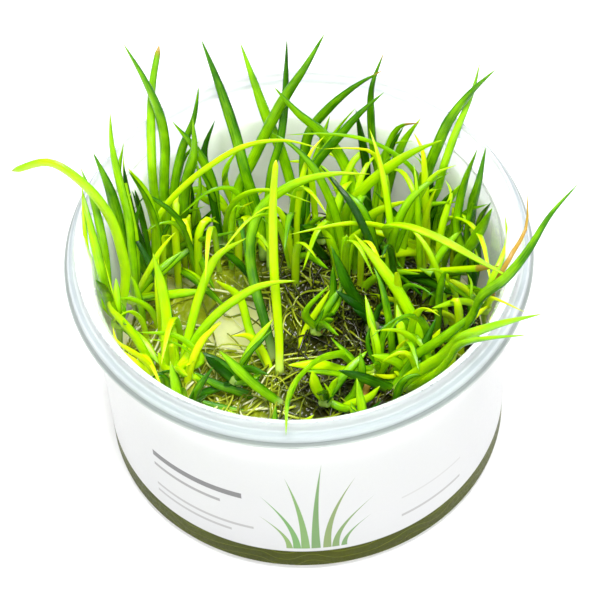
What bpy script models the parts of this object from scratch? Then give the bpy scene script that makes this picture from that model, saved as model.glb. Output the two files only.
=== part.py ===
"""Shoreweed plantlets in a clear tissue culture cup with a wrap-round label.

The cup stands on its flat bottom at z = 0 with its axis on Z.  Lengths below are
in millimetres and are turned into metres where a mesh is made.
"""
import math

import bmesh
import bpy
import numpy as np
from mathutils import Vector, kdtree

MM = 0.001
COLLECTION = "shoreweed_tissue_culture_cup"

# Driving sizes of the cup, in millimetres
SKIRT_RADIUS = 50.0
LIP_RADIUS = 47.5
MOUTH_RADIUS = 45.3
CUP_HEIGHT = 61.0
SKIRT_FOOT = 55.2
WALL = 0.9
FLOOR = 1.2
BOTTOM_RADIUS = 42.7
BOTTOM_CORNER = 1.2
WALL_TOP = 54.6
WALL_TOP_RADIUS = 44.45
STEPS = 36

# Label, gel and root mat
GAP = 0.3
LABEL_THICKNESS = 0.3
LABEL_FOOT = 1.4
LABEL_TOP = 47.8
GEL_TOP = 16.0
MAT_HEIGHT = 4.0
MAT_EDGE = 0.6
MAT_RADIUS = 39.0
MAT_RINGS = 6
MAT_SPOKES = 24
POCKETS = ((-13.5, 10.0, 7.0), (-27.0, 25.0, 5.0))
POCKET_SIDES = 12

# Place of the photograph's camera, which the traced routes are seen from
LENS_PX = 4000.0
CAMERA_DISTANCE = 875.0
CAMERA_ELEVATION = math.radians(53.84)
CAMERA_ROLL = math.radians(-3.42)
AIM_PX = (303.9, 343.3)
AIM_HEIGHT = 23.75

# Leaf section and the room kept between leaves
KNOT_SPACING = 9.0
FEWEST_KNOTS = 3
MOST_KNOTS = 11
SUBSTEPS = 4
LEAF_CLEARANCE = 0.5
WALL_CLEARANCE = 0.6
MAT_CLEARANCE = 0.9
SPREAD_ROUNDS = 300
LONGEST_MOVE = 0.6
FACE_SIDE = 0.30
BACK_SIDE = 0.62
CROWN_RADIUS = 1.9

# Colours seen in the photograph
TONES = {
    "lime": (0.52, 0.80, 0.02),
    "bright": (0.32, 0.62, 0.01),
    "mid": (0.10, 0.33, 0.01),
    "dark": (0.03, 0.12, 0.01),
    "brown": (0.30, 0.14, 0.02),
}

# Long leaves, one solid each: tone, width, then the route from base to tip.  A point
# is a pixel of the photograph, with the height above the table where it is known.
LONG_LEAVES = {
    "leaf_01": ("lime", 2.2, [(117, 317, 32), (120, 277, 43), (118, 240, 54), (107, 212, 62), (82, 182, 70),
                              (48, 162, 73), (12, 171, 69)]),
    "leaf_02": ("mid", 2.4, [(131, 296, 26), (126, 252, 40), (118, 210, 54), (106, 178, 64), (93, 152, 70)]),
    "leaf_03": ("mid", 2.0, [(172, 262, 21), (166, 205, 38), (163, 140, 57), (150, 92, 70), (123, 43, 80)]),
    "leaf_04": ("bright", 1.8, [(165, 256, 21), (158, 205, 38), (147, 165, 50), (146, 115, 62), (152, 80, 70),
                                (159, 46, 76)]),
    "leaf_05": ("mid", 1.8, [(180, 262, 21), (169, 200, 40), (180, 153, 52), (194, 118, 61), (203, 96, 66),
                             (199, 86, 68)]),
    "leaf_06": ("mid", 2.2, [(264, 262, 19), (255, 207, 34), (240, 153, 48), (220, 88, 63), (201, 39, 74)]),
    "leaf_07": ("bright", 2.1, [(319, 252, 20), (306, 220, 28), (289, 169, 42), (267, 119, 55), (247, 61, 68),
                                (240, 42, 72)]),
    "leaf_08": ("mid", 2.3, [(240, 262, 19), (235, 196, 36), (256, 153, 48), (285, 98, 62), (304, 69, 70),
                             (325, 33, 79)]),
    "leaf_09": ("dark", 1.6, [(270, 272, 19), (268, 191, 38), (280, 136, 52), (285, 85, 64), (287, 38, 76)]),
    "leaf_10": ("bright", 2.1, [(361, 262, 19), (357, 215, 30), (349, 178, 40), (330, 145, 50), (298, 114, 60),
                                (274, 87, 68)]),
    "leaf_11": ("dark", 2.1, [(312, 266, 19), (303, 181, 38), (308, 138, 49), (332, 107, 58), (361, 82, 66),
                              (383, 70, 70)]),
    "leaf_12": ("dark", 1.6, [(386, 258, 19), (384, 191, 34), (374, 140, 48), (371, 92, 62), (384, 52, 72)]),
    "leaf_13": ("lime", 2.2, [(325, 249, 20), (340, 215, 33), (367, 185, 46), (405, 156, 58), (442, 140, 66)]),
    "leaf_14": ("mid", 2.2, [(405, 262, 19), (415, 207, 34), (437, 155, 50), (464, 103, 66), (496, 69, 76)]),
    "leaf_15": ("mid", 1.6, [(416, 264, 19), (424, 220, 30), (453, 157, 48), (470, 115, 60), (480, 64, 74)]),
    "leaf_16": ("dark", 2.0, [(466, 270, 21), (471, 212, 38), (479, 181, 50), (486, 147, 64)]),
    "leaf_17": ("dark", 2.4, [(463, 290, 21), (470, 260, 30), (483, 226, 46), (492, 208, 58)]),
    "leaf_18": ("lime", 2.3, [(402, 258, 21), (387, 230, 40), (396, 224, 48), (424, 231, 53), (462, 250, 58),
                              (491, 267, 61), (513, 279, 63)]),
    "leaf_19": ("mid", 2.2, [(424, 350, 19), (455, 333, 36), (484, 309, 54), (512, 283, 66), (537, 237, 76),
                             (556, 207, 81), (579, 183, 85)]),
    "leaf_20": ("bright", 2.2, [(396, 398, 19), (434, 367, 38), (472, 340, 58), (510, 323, 67), (543, 314, 70)]),
    "leaf_21": ("bright", 2.2, [(420, 370, 19), (420, 345, 26), (407, 312, 34), (384, 272, 44), (354, 234, 52)]),
    "leaf_22": ("lime", 1.8, [(279, 380, 19), (278, 330, 30), (274, 268, 46), (273, 205, 60), (276, 160, 70)]),
    "leaf_23": ("mid", 2.1, [(272, 368, 19), (260, 316, 28), (250, 258, 38), (255, 220, 45), (276, 195, 51),
                             (315, 176, 56), (370, 174, 58)]),
    "leaf_24": ("lime", 1.7, [(276, 372, 20), (255, 333, 24), (240, 297, 32), (211, 277, 40)]),
    "leaf_25": ("mid", 1.8, [(181, 376, 19), (191, 331, 28), (205, 284, 38), (222, 253, 46), (247, 238, 52)]),
    "leaf_26": ("bright", 2.2, [(165, 381, 19), (167, 325, 32), (160, 278, 43), (153, 253, 49)]),
    "leaf_27": ("bright", 1.3, [(147, 283, 23), (150, 240, 34), (170, 200, 44), (210, 165, 54), (265, 140, 61),
                                (323, 149, 63)]),
    "leaf_28": ("bright", 2.2, [(357, 372, 20), (345, 357, 28), (320, 358, 40), (295, 381, 52), (287, 410, 60),
                                (286, 424, 64), (286, 438, 62)]),
    "leaf_29": ("mid", 2.0, [(281, 410, 19), (264, 392, 24), (241, 370, 30), (221, 350, 36)]),
    "leaf_30": ("mid", 1.2, [(413, 215, 24), (417, 180, 40), (405, 162, 47), (376, 143, 54), (335, 134, 57),
                             (285, 135, 58)]),
    "leaf_31": ("mid", 1.5, [(402, 392, 20), (440, 368, 42), (470, 350, 60), (499, 341, 67), (528, 336, 69)]),
}

# Plantlets: tone, crown, then each short leaf that grows from it as width and route
PLANTLETS = {
    "plantlet_01": ("mid", (118, 322, 31), [
        (1.6, [(107, 268, 44), (101, 239, 51), (95, 210, 58), (80, 167, 67)]),
        (1.7, [(104, 285, 42), (98, 262, 48), (91, 232, 57), (82, 189, 66)]),
        (1.7, [(127, 330, 30), (143, 341, 27), (160, 365, 25)]),
        (1.8, [(108, 301, 37), (94, 280, 46)])]),
    "plantlet_02": ("mid", (134, 298, 26), [
        (1.6, [(128, 250, 42), (119, 201, 56), (111, 143, 68), (110, 111, 75)]),
        (1.4, [(126, 215, 50), (120, 184, 58), (119, 165, 62), (124, 143, 68)]),
        (1.3, [(144, 291, 27), (156, 283, 29)])]),
    "plantlet_03": ("dark", (153, 283, 23), [
        (1.5, [(139, 239, 38), (130, 210, 48), (123, 165, 62)]),
        (1.7, [(133, 249, 38), (134, 230, 44), (140, 203, 53)]),
        (1.9, [(155, 226, 40), (147, 196, 49), (128, 168, 60)])]),
    "plantlet_04": ("bright", (177, 386, 19), [
        (1.9, [(190, 376, 23), (202, 352, 29), (180, 336, 33), (139, 332, 38)]),
        (1.4, [(175, 366, 24), (176, 354, 28)]),
        (1.3, [(168, 374, 24), (158, 352, 31)]),
        (1.4, [(194, 380, 22), (212, 386, 24)])]),
    "plantlet_05": ("dark", (174, 268, 20), [
        (1.6, [(167, 240, 29), (169, 224, 34), (171, 196, 44)]),
        (1.5, [(180, 248, 26), (196, 230, 32), (213, 209, 41)]),
        (1.3, [(184, 246, 29), (206, 239, 36), (238, 231, 42)])]),
    "plantlet_06": ("dark", (190, 252, 20), [
        (1.4, [(198, 229, 28), (196, 212, 34), (190, 192, 42)]),
        (2.0, [(180, 215, 36), (186, 180, 48), (196, 147, 58), (193, 119, 64)]),
        (1.6, [(182, 208, 38), (187, 170, 50), (193, 144, 58)]),
        (1.4, [(181, 224, 31), (190, 210, 37), (205, 206, 41)])]),
    "plantlet_07": ("dark", (222, 264, 19), [
        (1.8, [(216, 230, 29), (215, 195, 40), (203, 160, 51), (172, 121, 62)]),
        (1.5, [(214, 205, 38), (205, 160, 50), (204, 137, 56), (215, 120, 60)])]),
    "plantlet_08": ("bright", (250, 240, 19), [
        (1.3, [(242, 219, 26), (231, 190, 37), (230, 162, 46), (243, 145, 52)]),
        (1.7, [(240, 224, 26), (220, 205, 33), (193, 194, 40)])]),
    "plantlet_09": ("mid", (322, 253, 19), [
        (1.8, [(309, 248, 22), (296, 230, 28), (279, 207, 37)]),
        (1.4, [(308, 259, 21), (288, 242, 27), (276, 229, 32)]),
        (1.3, [(321, 240, 24), (312, 212, 33)])]),
    "plantlet_10": ("dark", (298, 272, 19), [
        (1.8, [(300, 205, 35), (316, 160, 46), (348, 122, 57), (384, 92, 66)]),
        (1.4, [(304, 200, 36), (318, 155, 46), (328, 116, 56)])]),
    "plantlet_11": ("dark", (378, 250, 19), [
        (1.6, [(368, 205, 31), (366, 165, 43), (356, 110, 60)]),
        (1.6, [(388, 190, 34), (397, 152, 46), (421, 118, 57)]),
        (1.4, [(384, 180, 37), (389, 140, 50), (408, 121, 57), (422, 123, 60)])]),
    "plantlet_12": ("mid", (436, 264, 19), [
        (1.6, [(438, 219, 30), (449, 200, 36), (467, 180, 43)]),
        (1.6, [(428, 225, 28), (438, 206, 36), (459, 201, 41)]),
        (1.5, [(414, 212, 34), (421, 198, 38), (435, 187, 43)])]),
    "plantlet_13": ("dark", (472, 294, 20), [
        (1.6, [(465, 232, 37), (466, 190, 49), (482, 147, 62)]),
        (1.3, [(478, 232, 37), (492, 202, 46)]),
        (1.6, [(471, 308, 22), (474, 324, 24)]),
        (1.4, [(484, 290, 26), (494, 297, 31)])]),
    "plantlet_14": ("dark", (386, 284, 19), [
        (1.8, [(405, 275, 25), (430, 278, 30), (455, 293, 34)]),
        (1.2, [(425, 274, 30), (463, 270, 38), (500, 266, 46)])]),
    "plantlet_15": ("dark", (373, 338, 19), [
        (1.7, [(368, 312, 25), (354, 292, 31)]),
        (1.2, [(376, 312, 26), (388, 301, 29), (400, 304, 30)]),
        (1.6, [(388, 332, 22), (402, 316, 29)])]),
    "plantlet_16": ("mid", (318, 344, 19), [
        (1.3, [(321, 335, 23), (323, 323, 28)]),
        (1.5, [(304, 328, 27), (305, 312, 33), (329, 285, 42)]),
        (1.5, [(328, 322, 24), (333, 290, 31), (333, 266, 37)])]),
    "plantlet_17": ("mid", (380, 382, 19), [
        (1.3, [(380, 350, 27), (388, 320, 35)]),
        (2.1, [(360, 375, 23), (325, 366, 30), (288, 365, 35)]),
        (1.4, [(368, 392, 20), (363, 408, 20)])]),
    "plantlet_18": ("mid", (326, 411, 19), [
        (2.0, [(319, 396, 25), (312, 371, 33)]),
        (1.5, [(338, 407, 22), (353, 409, 26)])]),
    "plantlet_19": ("bright", (408, 384, 19), [
        (1.5, [(409, 362, 26), (408, 346, 31)]),
        (1.8, [(428, 352, 25), (446, 331, 31)]),
        (1.6, [(392, 385, 22), (374, 387, 26)])]),
    "plantlet_20": ("dark", (236, 392, 19), [
        (1.7, [(226, 374, 24), (205, 356, 30)]),
        (1.5, [(216, 388, 22), (191, 398, 25)]),
        (1.4, [(250, 384, 22), (260, 370, 26)])]),
    "plantlet_21": ("brown", (484, 308, 27), [
        (0.9, [(510, 276, 50), (520, 248, 59), (530, 218, 65), (527, 189, 71)]),
        (1.2, [(500, 302, 56), (514, 307, 63), (528, 314, 65)])]),
}

# Crowns behind the front wall, where the photograph cannot look, as x and y
FRONT_CROWNS = {
    "plantlet_22": (-27.0, -21.0),
    "plantlet_23": (-8.0, -31.0),
    "plantlet_24": (12.0, -30.0),
    "plantlet_25": (29.0, -21.0),
}
FRONT_LEAVES = 6
FRONT_SEED = 41

# Low leaves that fill each traced plantlet
LOW_LEAVES = 2
LOW_SEED = 17


def photo_to_space(px, py, height):
    """Place of a photograph pixel, for a point at the given height."""
    across, down = px - AIM_PX[0], py - AIM_PX[1]
    turn_cos, turn_sin = math.cos(CAMERA_ROLL), math.sin(CAMERA_ROLL)
    right = (across * turn_cos + down * turn_sin) / LENS_PX
    below = (down * turn_cos - across * turn_sin) / LENS_PX
    cos_up, sin_up = math.cos(CAMERA_ELEVATION), math.sin(CAMERA_ELEVATION)
    eye = np.array((0.0, -CAMERA_DISTANCE * cos_up, AIM_HEIGHT + CAMERA_DISTANCE * sin_up))
    ray = np.array((right, cos_up - below * sin_up, -sin_up - below * cos_up))
    return eye + ray * (height - eye[2]) / ray[2]


def wall_radius(height):
    """Inner radius of the cup at a height."""
    heights = (0.0, WALL_TOP, CUP_HEIGHT)
    radii = (BOTTOM_RADIUS - WALL, WALL_TOP_RADIUS - WALL, MOUTH_RADIUS)
    return np.interp(height, heights, radii)


def mat_top(x, y):
    """Height of the root mat's lumpy top, sinking to the gel at its rim and round its pockets."""
    lumps = 0.9 * np.sin(0.31 * x + 0.8) * np.cos(0.27 * y - 0.4) + 0.5 * np.sin(0.26 * x - 0.22 * y)
    shore = np.clip((MAT_RADIUS - np.hypot(x, y)) / 5.0, 0.0, 1.0)
    for pocket_x, pocket_y, radius in POCKETS:
        away = np.hypot(x - pocket_x, y - pocket_y) - radius
        shore = shore * np.clip(away / 4.0, 0.0, 1.0)
    return GEL_TOP + GAP + MAT_EDGE + (MAT_HEIGHT + lumps) * np.sqrt(shore)


def inside_cup(point, margin):
    """Lift a traced point along its line of sight, or pull it in, until the cup's wall is clear."""
    px, py, height = point
    place = photo_to_space(px, py, height)
    while height < CUP_HEIGHT and math.hypot(place[0], place[1]) > wall_radius(height) - margin:
        height += 0.5
        place = photo_to_space(px, py, height)
    return place


def smooth_route(points, knots):
    """Even points along a smooth curve through the given ones (Catmull-Rom, then equal steps)."""
    points = np.asarray(points)
    ends = np.vstack((2 * points[0] - points[1], points, 2 * points[-1] - points[-2]))
    fine = []
    for a, b, c, d in zip(ends, ends[1:], ends[2:], ends[3:]):
        t = np.linspace(0.0, 1.0, 12, endpoint=False)[:, None]
        fine.append(0.5 * (2 * b + (c - a) * t + (2 * a - 5 * b + 4 * c - d) * t ** 2
                           + (3 * b - a - 3 * c + d) * t ** 3))
    fine.append(points[-1:])
    fine = np.vstack(fine)
    run = np.concatenate(([0.0], np.cumsum(np.linalg.norm(np.diff(fine, axis=0), axis=1))))
    steps = np.linspace(0.0, run[-1], knots)
    return np.column_stack([np.interp(steps, run, fine[:, axis]) for axis in range(3)])


def leaf_width(width, along):
    """Width along a leaf: even for more than half its length, then drawn to a narrow tip."""
    return width * (1.0 - 0.86 * np.clip((along - 0.58) / 0.42, 0.0, 1.0) ** 1.8)


class Leaf:
    """One leaf: the node it belongs to, its width and the knots of its middle line."""

    def __init__(self, node, width, points, rooted):
        self.node = node
        self.width = width
        self.rooted = rooted
        length = np.linalg.norm(np.diff(points, axis=0), axis=1).sum()
        knots = int(np.clip(round(length / KNOT_SPACING) + 1, FEWEST_KNOTS, MOST_KNOTS))
        self.knots = smooth_route(points, knots)
        self.start = self.knots[0].copy()
        steps = np.linspace(0.0, knots - 1.0, (knots - 1) * SUBSTEPS + 1)
        self.blend = np.maximum(0.0, 1.0 - np.abs(steps[:, None] - np.arange(knots)))
        self.half = 0.5 * leaf_width(width, steps / steps[-1])


def crown_places():
    """Centre of each plantlet's crown, standing on the root mat or held above it."""
    places = {}
    for name, (_, (px, py, height), _) in PLANTLETS.items():
        places[name] = inside_cup((px, py, height), CROWN_RADIUS + WALL_CLEARANCE)
    for name, (x, y) in FRONT_CROWNS.items():
        places[name] = np.array((x, y, 0.0))
    for place in places.values():
        place[2] = max(place[2], mat_top(place[0], place[1]) + MAT_CLEARANCE + CROWN_RADIUS)
    return places


def ring_routes(place, count, rise, reach, seed, lean):
    """Seeded leaves in a ring round a crown, each bowed outwards, as width and route."""
    rng = np.random.default_rng(seed)
    routes = []
    for turn in range(count):
        bearing = 2 * math.pi * (turn + rng.uniform(0.1, 0.9)) / count
        outward = np.array((math.cos(bearing), math.sin(bearing), 0.0)) + lean
        outward *= rng.uniform(*reach)
        upward = np.array((0.0, 0.0, rng.uniform(*rise)))
        route = np.array((place, place + outward * 0.35 + upward * 0.55, place + outward + upward))
        limit = wall_radius(route[:, 2]) - 2.0
        route[:, :2] *= np.minimum(1.0, limit / np.hypot(route[:, 0], route[:, 1]))[:, None]
        routes.append((rng.uniform(1.3, 1.9), route))
    return routes


def gather_leaves(crowns):
    """Every leaf with its first shape, before leaves that touch are parted."""
    leaves = []
    for name, (_, width, route) in LONG_LEAVES.items():
        points = [inside_cup(point, 0.5 * width + WALL_CLEARANCE) for point in route]
        leaves.append(Leaf(name, width, points, False))
    for name, (_, _, routes) in PLANTLETS.items():
        for width, route in routes:
            points = [crowns[name]] + [inside_cup(point, 0.5 * width + WALL_CLEARANCE) for point in route]
            leaves.append(Leaf(name, width, points, True))
    for number, (name, place) in enumerate(crowns.items()):
        if name in FRONT_CROWNS:
            low = ring_routes(place, FRONT_LEAVES, (12.0, 24.0), (4.0, 11.0), FRONT_SEED + number,
                              np.array((0.0, -0.4, 0.0)))
        else:
            inward = -place * (1.0, 1.0, 0.0) / BOTTOM_RADIUS
            low = ring_routes(place, LOW_LEAVES, (5.0, 13.0), (6.0, 12.0), LOW_SEED + number, inward)
        for width, points in low:
            leaves.append(Leaf(name, width, points, True))
    return leaves


def cup_push(places, half):
    """Shortest moves that bring points clear of the mat, the wall and the rim."""
    reach = np.hypot(places[:, 0], places[:, 1])
    outward = np.column_stack((places[:, 0], places[:, 1], np.zeros(len(places)))) / np.maximum(reach, 1e-6)[:, None]
    room = half + WALL_CLEARANCE
    past_wall = reach - (wall_radius(places[:, 2]) - room)
    to_outside = SKIRT_RADIUS + room - reach
    to_top = CUP_HEIGHT + room - places[:, 2]
    in_wall = (past_wall > 0.0) & (to_outside > 0.0) & (to_top > 0.0)
    at_rim = in_wall & (places[:, 2] > WALL_TOP)
    up = at_rim & (to_top <= past_wall) & (to_top <= to_outside)
    out = at_rim & ~up & (to_outside < past_wall)
    back = in_wall & ~up & ~out
    move = outward * (np.where(out, to_outside, 0.0) - np.where(back, past_wall, 0.0))[:, None]
    move[:, 2] += np.where(up, to_top, 0.0)
    sunk = mat_top(places[:, 0], places[:, 1]) + half + MAT_CLEARANCE - places[:, 2]
    move[:, 2] += np.where((reach < MOUTH_RADIUS) & (sunk > 0.0), sunk, 0.0)
    return move


def leaf_push(places, half, nodes, movable):
    """Moves that part points of different nodes, half of the shortfall to each."""
    tree = kdtree.KDTree(len(places))
    for number, place in enumerate(places):
        tree.insert(place, number)
    tree.balance()
    push = np.zeros_like(places)
    widest = half.max() + LEAF_CLEARANCE
    for number, place in enumerate(places[:movable]):
        for _, other, _ in tree.find_range(place, half[number] + widest):
            if nodes[other] == nodes[number] or other < number:
                continue
            apart = place - places[other]
            distance = max(np.linalg.norm(apart), 1e-3)
            short = half[number] + half[other] + LEAF_CLEARANCE - distance
            if short > 0.0:
                push[number] += apart / distance * short * 0.5
                push[other] -= apart / distance * short * 0.5
    return push


def spread_leaves(leaves, crowns):
    """Part leaves of different nodes, and leaves and cup, a little every round."""
    half = np.concatenate([leaf.half for leaf in leaves] + [np.full(len(crowns), CROWN_RADIUS)])
    nodes = [leaf.node for leaf in leaves for _ in leaf.half] + list(crowns)
    bounds = np.cumsum([0] + [len(leaf.half) for leaf in leaves])
    fixed = np.array(list(crowns.values()))
    for _ in range(SPREAD_ROUNDS):
        places = np.vstack([leaf.blend @ leaf.knots for leaf in leaves] + [fixed])
        push = leaf_push(places, half, nodes, bounds[-1]) + cup_push(places, half)
        for leaf, first, last in zip(leaves, bounds, bounds[1:]):
            move = leaf.blend.T @ push[first:last]
            size = np.linalg.norm(move, axis=1, keepdims=True)
            move *= np.minimum(1.0, LONGEST_MOVE / np.maximum(size, 1e-6))
            padded = np.vstack((move[:1], move, move[-1:]))
            leaf.knots += 0.2 * padded[:-2] + 0.6 * move + 0.2 * padded[2:]
            if leaf.rooted:
                leaf.knots[0] = leaf.start


def leaf_frame(knots):
    """Side and upper-face directions at each knot, turned as little as possible."""
    tangent = np.gradient(knots, axis=0)
    tangent /= np.linalg.norm(tangent, axis=1, keepdims=True)
    sight = np.array((0.0, math.cos(CAMERA_ELEVATION), -math.sin(CAMERA_ELEVATION)))
    side = np.cross(tangent[0], sight)
    sides = []
    for direction in tangent:
        side = side - direction * side.dot(direction)
        side /= np.linalg.norm(side)
        sides.append(side)
    sides = np.array(sides)
    return sides, np.cross(sides, tangent)


def leaf_object(name, leaf, collection):
    """A tapering leaf: at each knot two edges, a round back and, on a long leaf, a low face."""
    side, face = leaf_frame(leaf.knots)
    half = 0.5 * leaf_width(leaf.width, np.linspace(0.0, 1.0, len(leaf.knots)))[:, None]
    edge, back = leaf.knots + side * half, leaf.knots - face * half * BACK_SIDE
    crest = leaf.knots + face * half * FACE_SIDE
    other = leaf.knots - side * half
    corners = (edge, other, back) if leaf.rooted else (edge, crest, other, back)
    mesh = bmesh.new()
    loops = [[mesh.verts.new(Vector(corner) * MM) for corner in ring] for ring in zip(*corners)]
    for lower, upper in zip(loops, loops[1:]):
        for a in range(len(corners)):
            b = (a + 1) % len(corners)
            mesh.faces.new((lower[a], lower[b], upper[b], upper[a]))
    mesh.faces.new(loops[0])
    mesh.faces.new(loops[-1])
    bmesh.ops.recalc_face_normals(mesh, faces=mesh.faces)
    return object_from(mesh, name, collection)


def object_from(mesh, name, collection):
    """Turn a bmesh into a named object in a collection."""
    data = bpy.data.meshes.new(name)
    mesh.to_mesh(data)
    mesh.free()
    made = bpy.data.objects.new(name, data)
    collection.objects.link(made)
    return made


def finish(made, colour, roughness, alpha=1.0):
    """Give an object its own Principled material."""
    material = bpy.data.materials.new(made.name)
    material.use_nodes = True
    shader = material.node_tree.nodes["Principled BSDF"]
    shader.inputs["Base Color"].default_value = (*colour, 1.0)
    shader.inputs["Roughness"].default_value = roughness
    shader.inputs["Metallic"].default_value = 0.0
    shader.inputs["Alpha"].default_value = alpha
    made.data.materials.append(material)


def hide_cutter(made):
    """Mark an object as a helper that is not a piece."""
    made.hide_render = True
    made.display_type = "WIRE"


def turned(name, profile, steps, collection, closed=False):
    """A profile of radius and height, outer side running down, turned about Z."""
    mesh = bmesh.new()
    corners = [mesh.verts.new((radius * MM, 0.0, height * MM)) for radius, height in profile]
    for a, b in zip(corners, corners[1:]):
        mesh.edges.new((a, b))
    if closed:
        mesh.edges.new((corners[-1], corners[0]))
    made = object_from(mesh, name, collection)
    screw = made.modifiers.new("Turn", "SCREW")
    screw.axis = "Z"
    screw.steps = steps
    screw.render_steps = steps
    screw.use_merge_vertices = True
    screw.merge_threshold = 0.00002
    screw.use_smooth_shade = True
    return made


def join(base, operand, operation):
    """Add a Boolean modifier that fuses or cuts with a helper object."""
    boolean = base.modifiers.new(operand.name, "BOOLEAN")
    boolean.operation = operation
    boolean.solver = "EXACT"
    boolean.object = operand
    hide_cutter(operand)


def make_cup(parts):
    """Clear cup: flat bottom, tapered wall, mouth flange and the hollow snap skirt round it."""
    inner = BOTTOM_RADIUS - WALL
    profile = [
        (0.0, FLOOR),
        (inner - 2.0, FLOOR),
        (inner - 0.6, FLOOR + 0.5),
        (inner, FLOOR + 1.9),
        (WALL_TOP_RADIUS - WALL, WALL_TOP),
        (MOUTH_RADIUS - 0.5, CUP_HEIGHT - 3.2),
        (MOUTH_RADIUS, CUP_HEIGHT - 1.6),
        (LIP_RADIUS - 0.4, CUP_HEIGHT),
        (LIP_RADIUS, CUP_HEIGHT - 0.5),
        (LIP_RADIUS + 0.5, CUP_HEIGHT - 2.6),
        (LIP_RADIUS + 1.5, CUP_HEIGHT - 3.2),
        (LIP_RADIUS + 1.7, CUP_HEIGHT - 4.9),
        (SKIRT_RADIUS, SKIRT_FOOT + 0.4),
        (SKIRT_RADIUS - 0.1, SKIRT_FOOT),
        (SKIRT_RADIUS - 0.9, SKIRT_FOOT + 0.3),
        (LIP_RADIUS + 0.6, CUP_HEIGHT - 3.8),
        (MOUTH_RADIUS + 0.7, CUP_HEIGHT - 3.6),
        (WALL_TOP_RADIUS + 0.2, WALL_TOP + 0.6),
        (WALL_TOP_RADIUS, WALL_TOP),
        (BOTTOM_RADIUS, BOTTOM_CORNER),
        (BOTTOM_RADIUS - 0.35, 0.35),
        (BOTTOM_RADIUS - BOTTOM_CORNER, 0.0),
        (0.0, 0.0),
    ]
    cup = turned("cup", profile, STEPS, parts)
    finish(cup, (0.90, 0.95, 0.97), 0.08, 0.35)


def outer_radius(height):
    """Outer radius of the cup's straight wall."""
    slope = (WALL_TOP_RADIUS - BOTTOM_RADIUS) / (WALL_TOP - BOTTOM_CORNER)
    return BOTTOM_RADIUS + (height - BOTTOM_CORNER) * slope


def make_label(parts):
    """Wrap-round paper label, one thin ring against the wall."""
    inside_top = outer_radius(LABEL_TOP) + GAP
    inside_foot = outer_radius(LABEL_FOOT) + GAP
    profile = [
        (inside_top + LABEL_THICKNESS, LABEL_TOP),
        (inside_foot + LABEL_THICKNESS, LABEL_FOOT),
        (inside_foot, LABEL_FOOT),
        (inside_top, LABEL_TOP),
    ]
    label = turned("label", profile, STEPS, parts, closed=True)
    finish(label, (0.86, 0.87, 0.86), 0.55)


def make_gel(parts):
    """Disc of nutrient jelly that fills the bottom of the cup."""
    inner = BOTTOM_RADIUS - WALL - GAP
    foot = FLOOR + GAP
    profile = [
        (0.0, GEL_TOP),
        (wall_radius(GEL_TOP) - GAP - 0.8, GEL_TOP),
        (wall_radius(GEL_TOP) - GAP - 0.1, GEL_TOP - 0.4),
        (inner, foot + 2.4),
        (inner - 2.2, foot),
        (0.0, foot),
    ]
    gel = turned("gel", profile, STEPS, parts)
    finish(gel, (0.85, 0.80, 0.42), 0.15, 0.8)


def make_root_mat(parts, helpers):
    """Low lumpy blanket of matted roots on the gel, open where pockets of gel show."""
    turn = np.linspace(0.0, 2 * math.pi, MAT_SPOKES, endpoint=False)
    radii = MAT_RADIUS * np.linspace(0.0, 1.0, MAT_RINGS + 1)[1:] ** 0.8
    x = np.outer(radii, np.cos(turn))
    y = np.outer(radii, np.sin(turn))
    z = mat_top(x, y)
    foot = GEL_TOP + GAP
    mesh = bmesh.new()
    centre = mesh.verts.new(Vector((0.0, 0.0, mat_top(0.0, 0.0))) * MM)
    loops = [[mesh.verts.new(Vector(corner) * MM) for corner in zip(*ring)] for ring in zip(x, y, z)]
    loops.append([mesh.verts.new(Vector((a, b, foot)) * MM) for a, b in zip(x[-1], y[-1])])
    for number in range(MAT_SPOKES):
        following = (number + 1) % MAT_SPOKES
        mesh.faces.new((centre, loops[0][number], loops[0][following]))
        for inner, outer in zip(loops, loops[1:]):
            mesh.faces.new((inner[number], outer[number], outer[following], inner[following]))
    mesh.faces.new(loops[-1][::-1])
    bmesh.ops.recalc_face_normals(mesh, faces=mesh.faces)
    mat = object_from(mesh, "root_mat", parts)
    for number, (x, y, radius) in enumerate(POCKETS, 1):
        cutter = bmesh.new()
        bmesh.ops.create_cone(cutter, cap_ends=True, segments=POCKET_SIDES, radius1=radius * MM,
                              radius2=radius * MM, depth=MAT_HEIGHT * 4 * MM)
        hole = object_from(cutter, f"pocket_cutter_{number}", helpers)
        hole.location = Vector((x, y, foot)) * MM
        join(mat, hole, "DIFFERENCE")
    finish(mat, (0.24, 0.20, 0.06), 0.6)


def make_plantlet(name, tone, place, leaves, parts, helpers):
    """A crown that stands on the mat, with the short leaves that grow from it fused on."""
    foot = mat_top(place[0], place[1]) + MAT_CLEARANCE - place[2]
    profile = [
        (0.0, CROWN_RADIUS * 0.9),
        (CROWN_RADIUS * 0.8, CROWN_RADIUS * 0.4),
        (CROWN_RADIUS, -CROWN_RADIUS * 0.2),
        (CROWN_RADIUS * 0.5, max(-CROWN_RADIUS * 0.9, foot * 0.7)),
        (0.0, foot),
    ]
    plantlet = turned(name, profile, 7, parts)
    plantlet.location = Vector(place) * MM
    for number, leaf in enumerate(leaves, 1):
        join(plantlet, leaf_object(f"{name}_leaf_{number}", leaf, helpers), "UNION")
    finish(plantlet, TONES[tone], 0.4)


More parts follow.
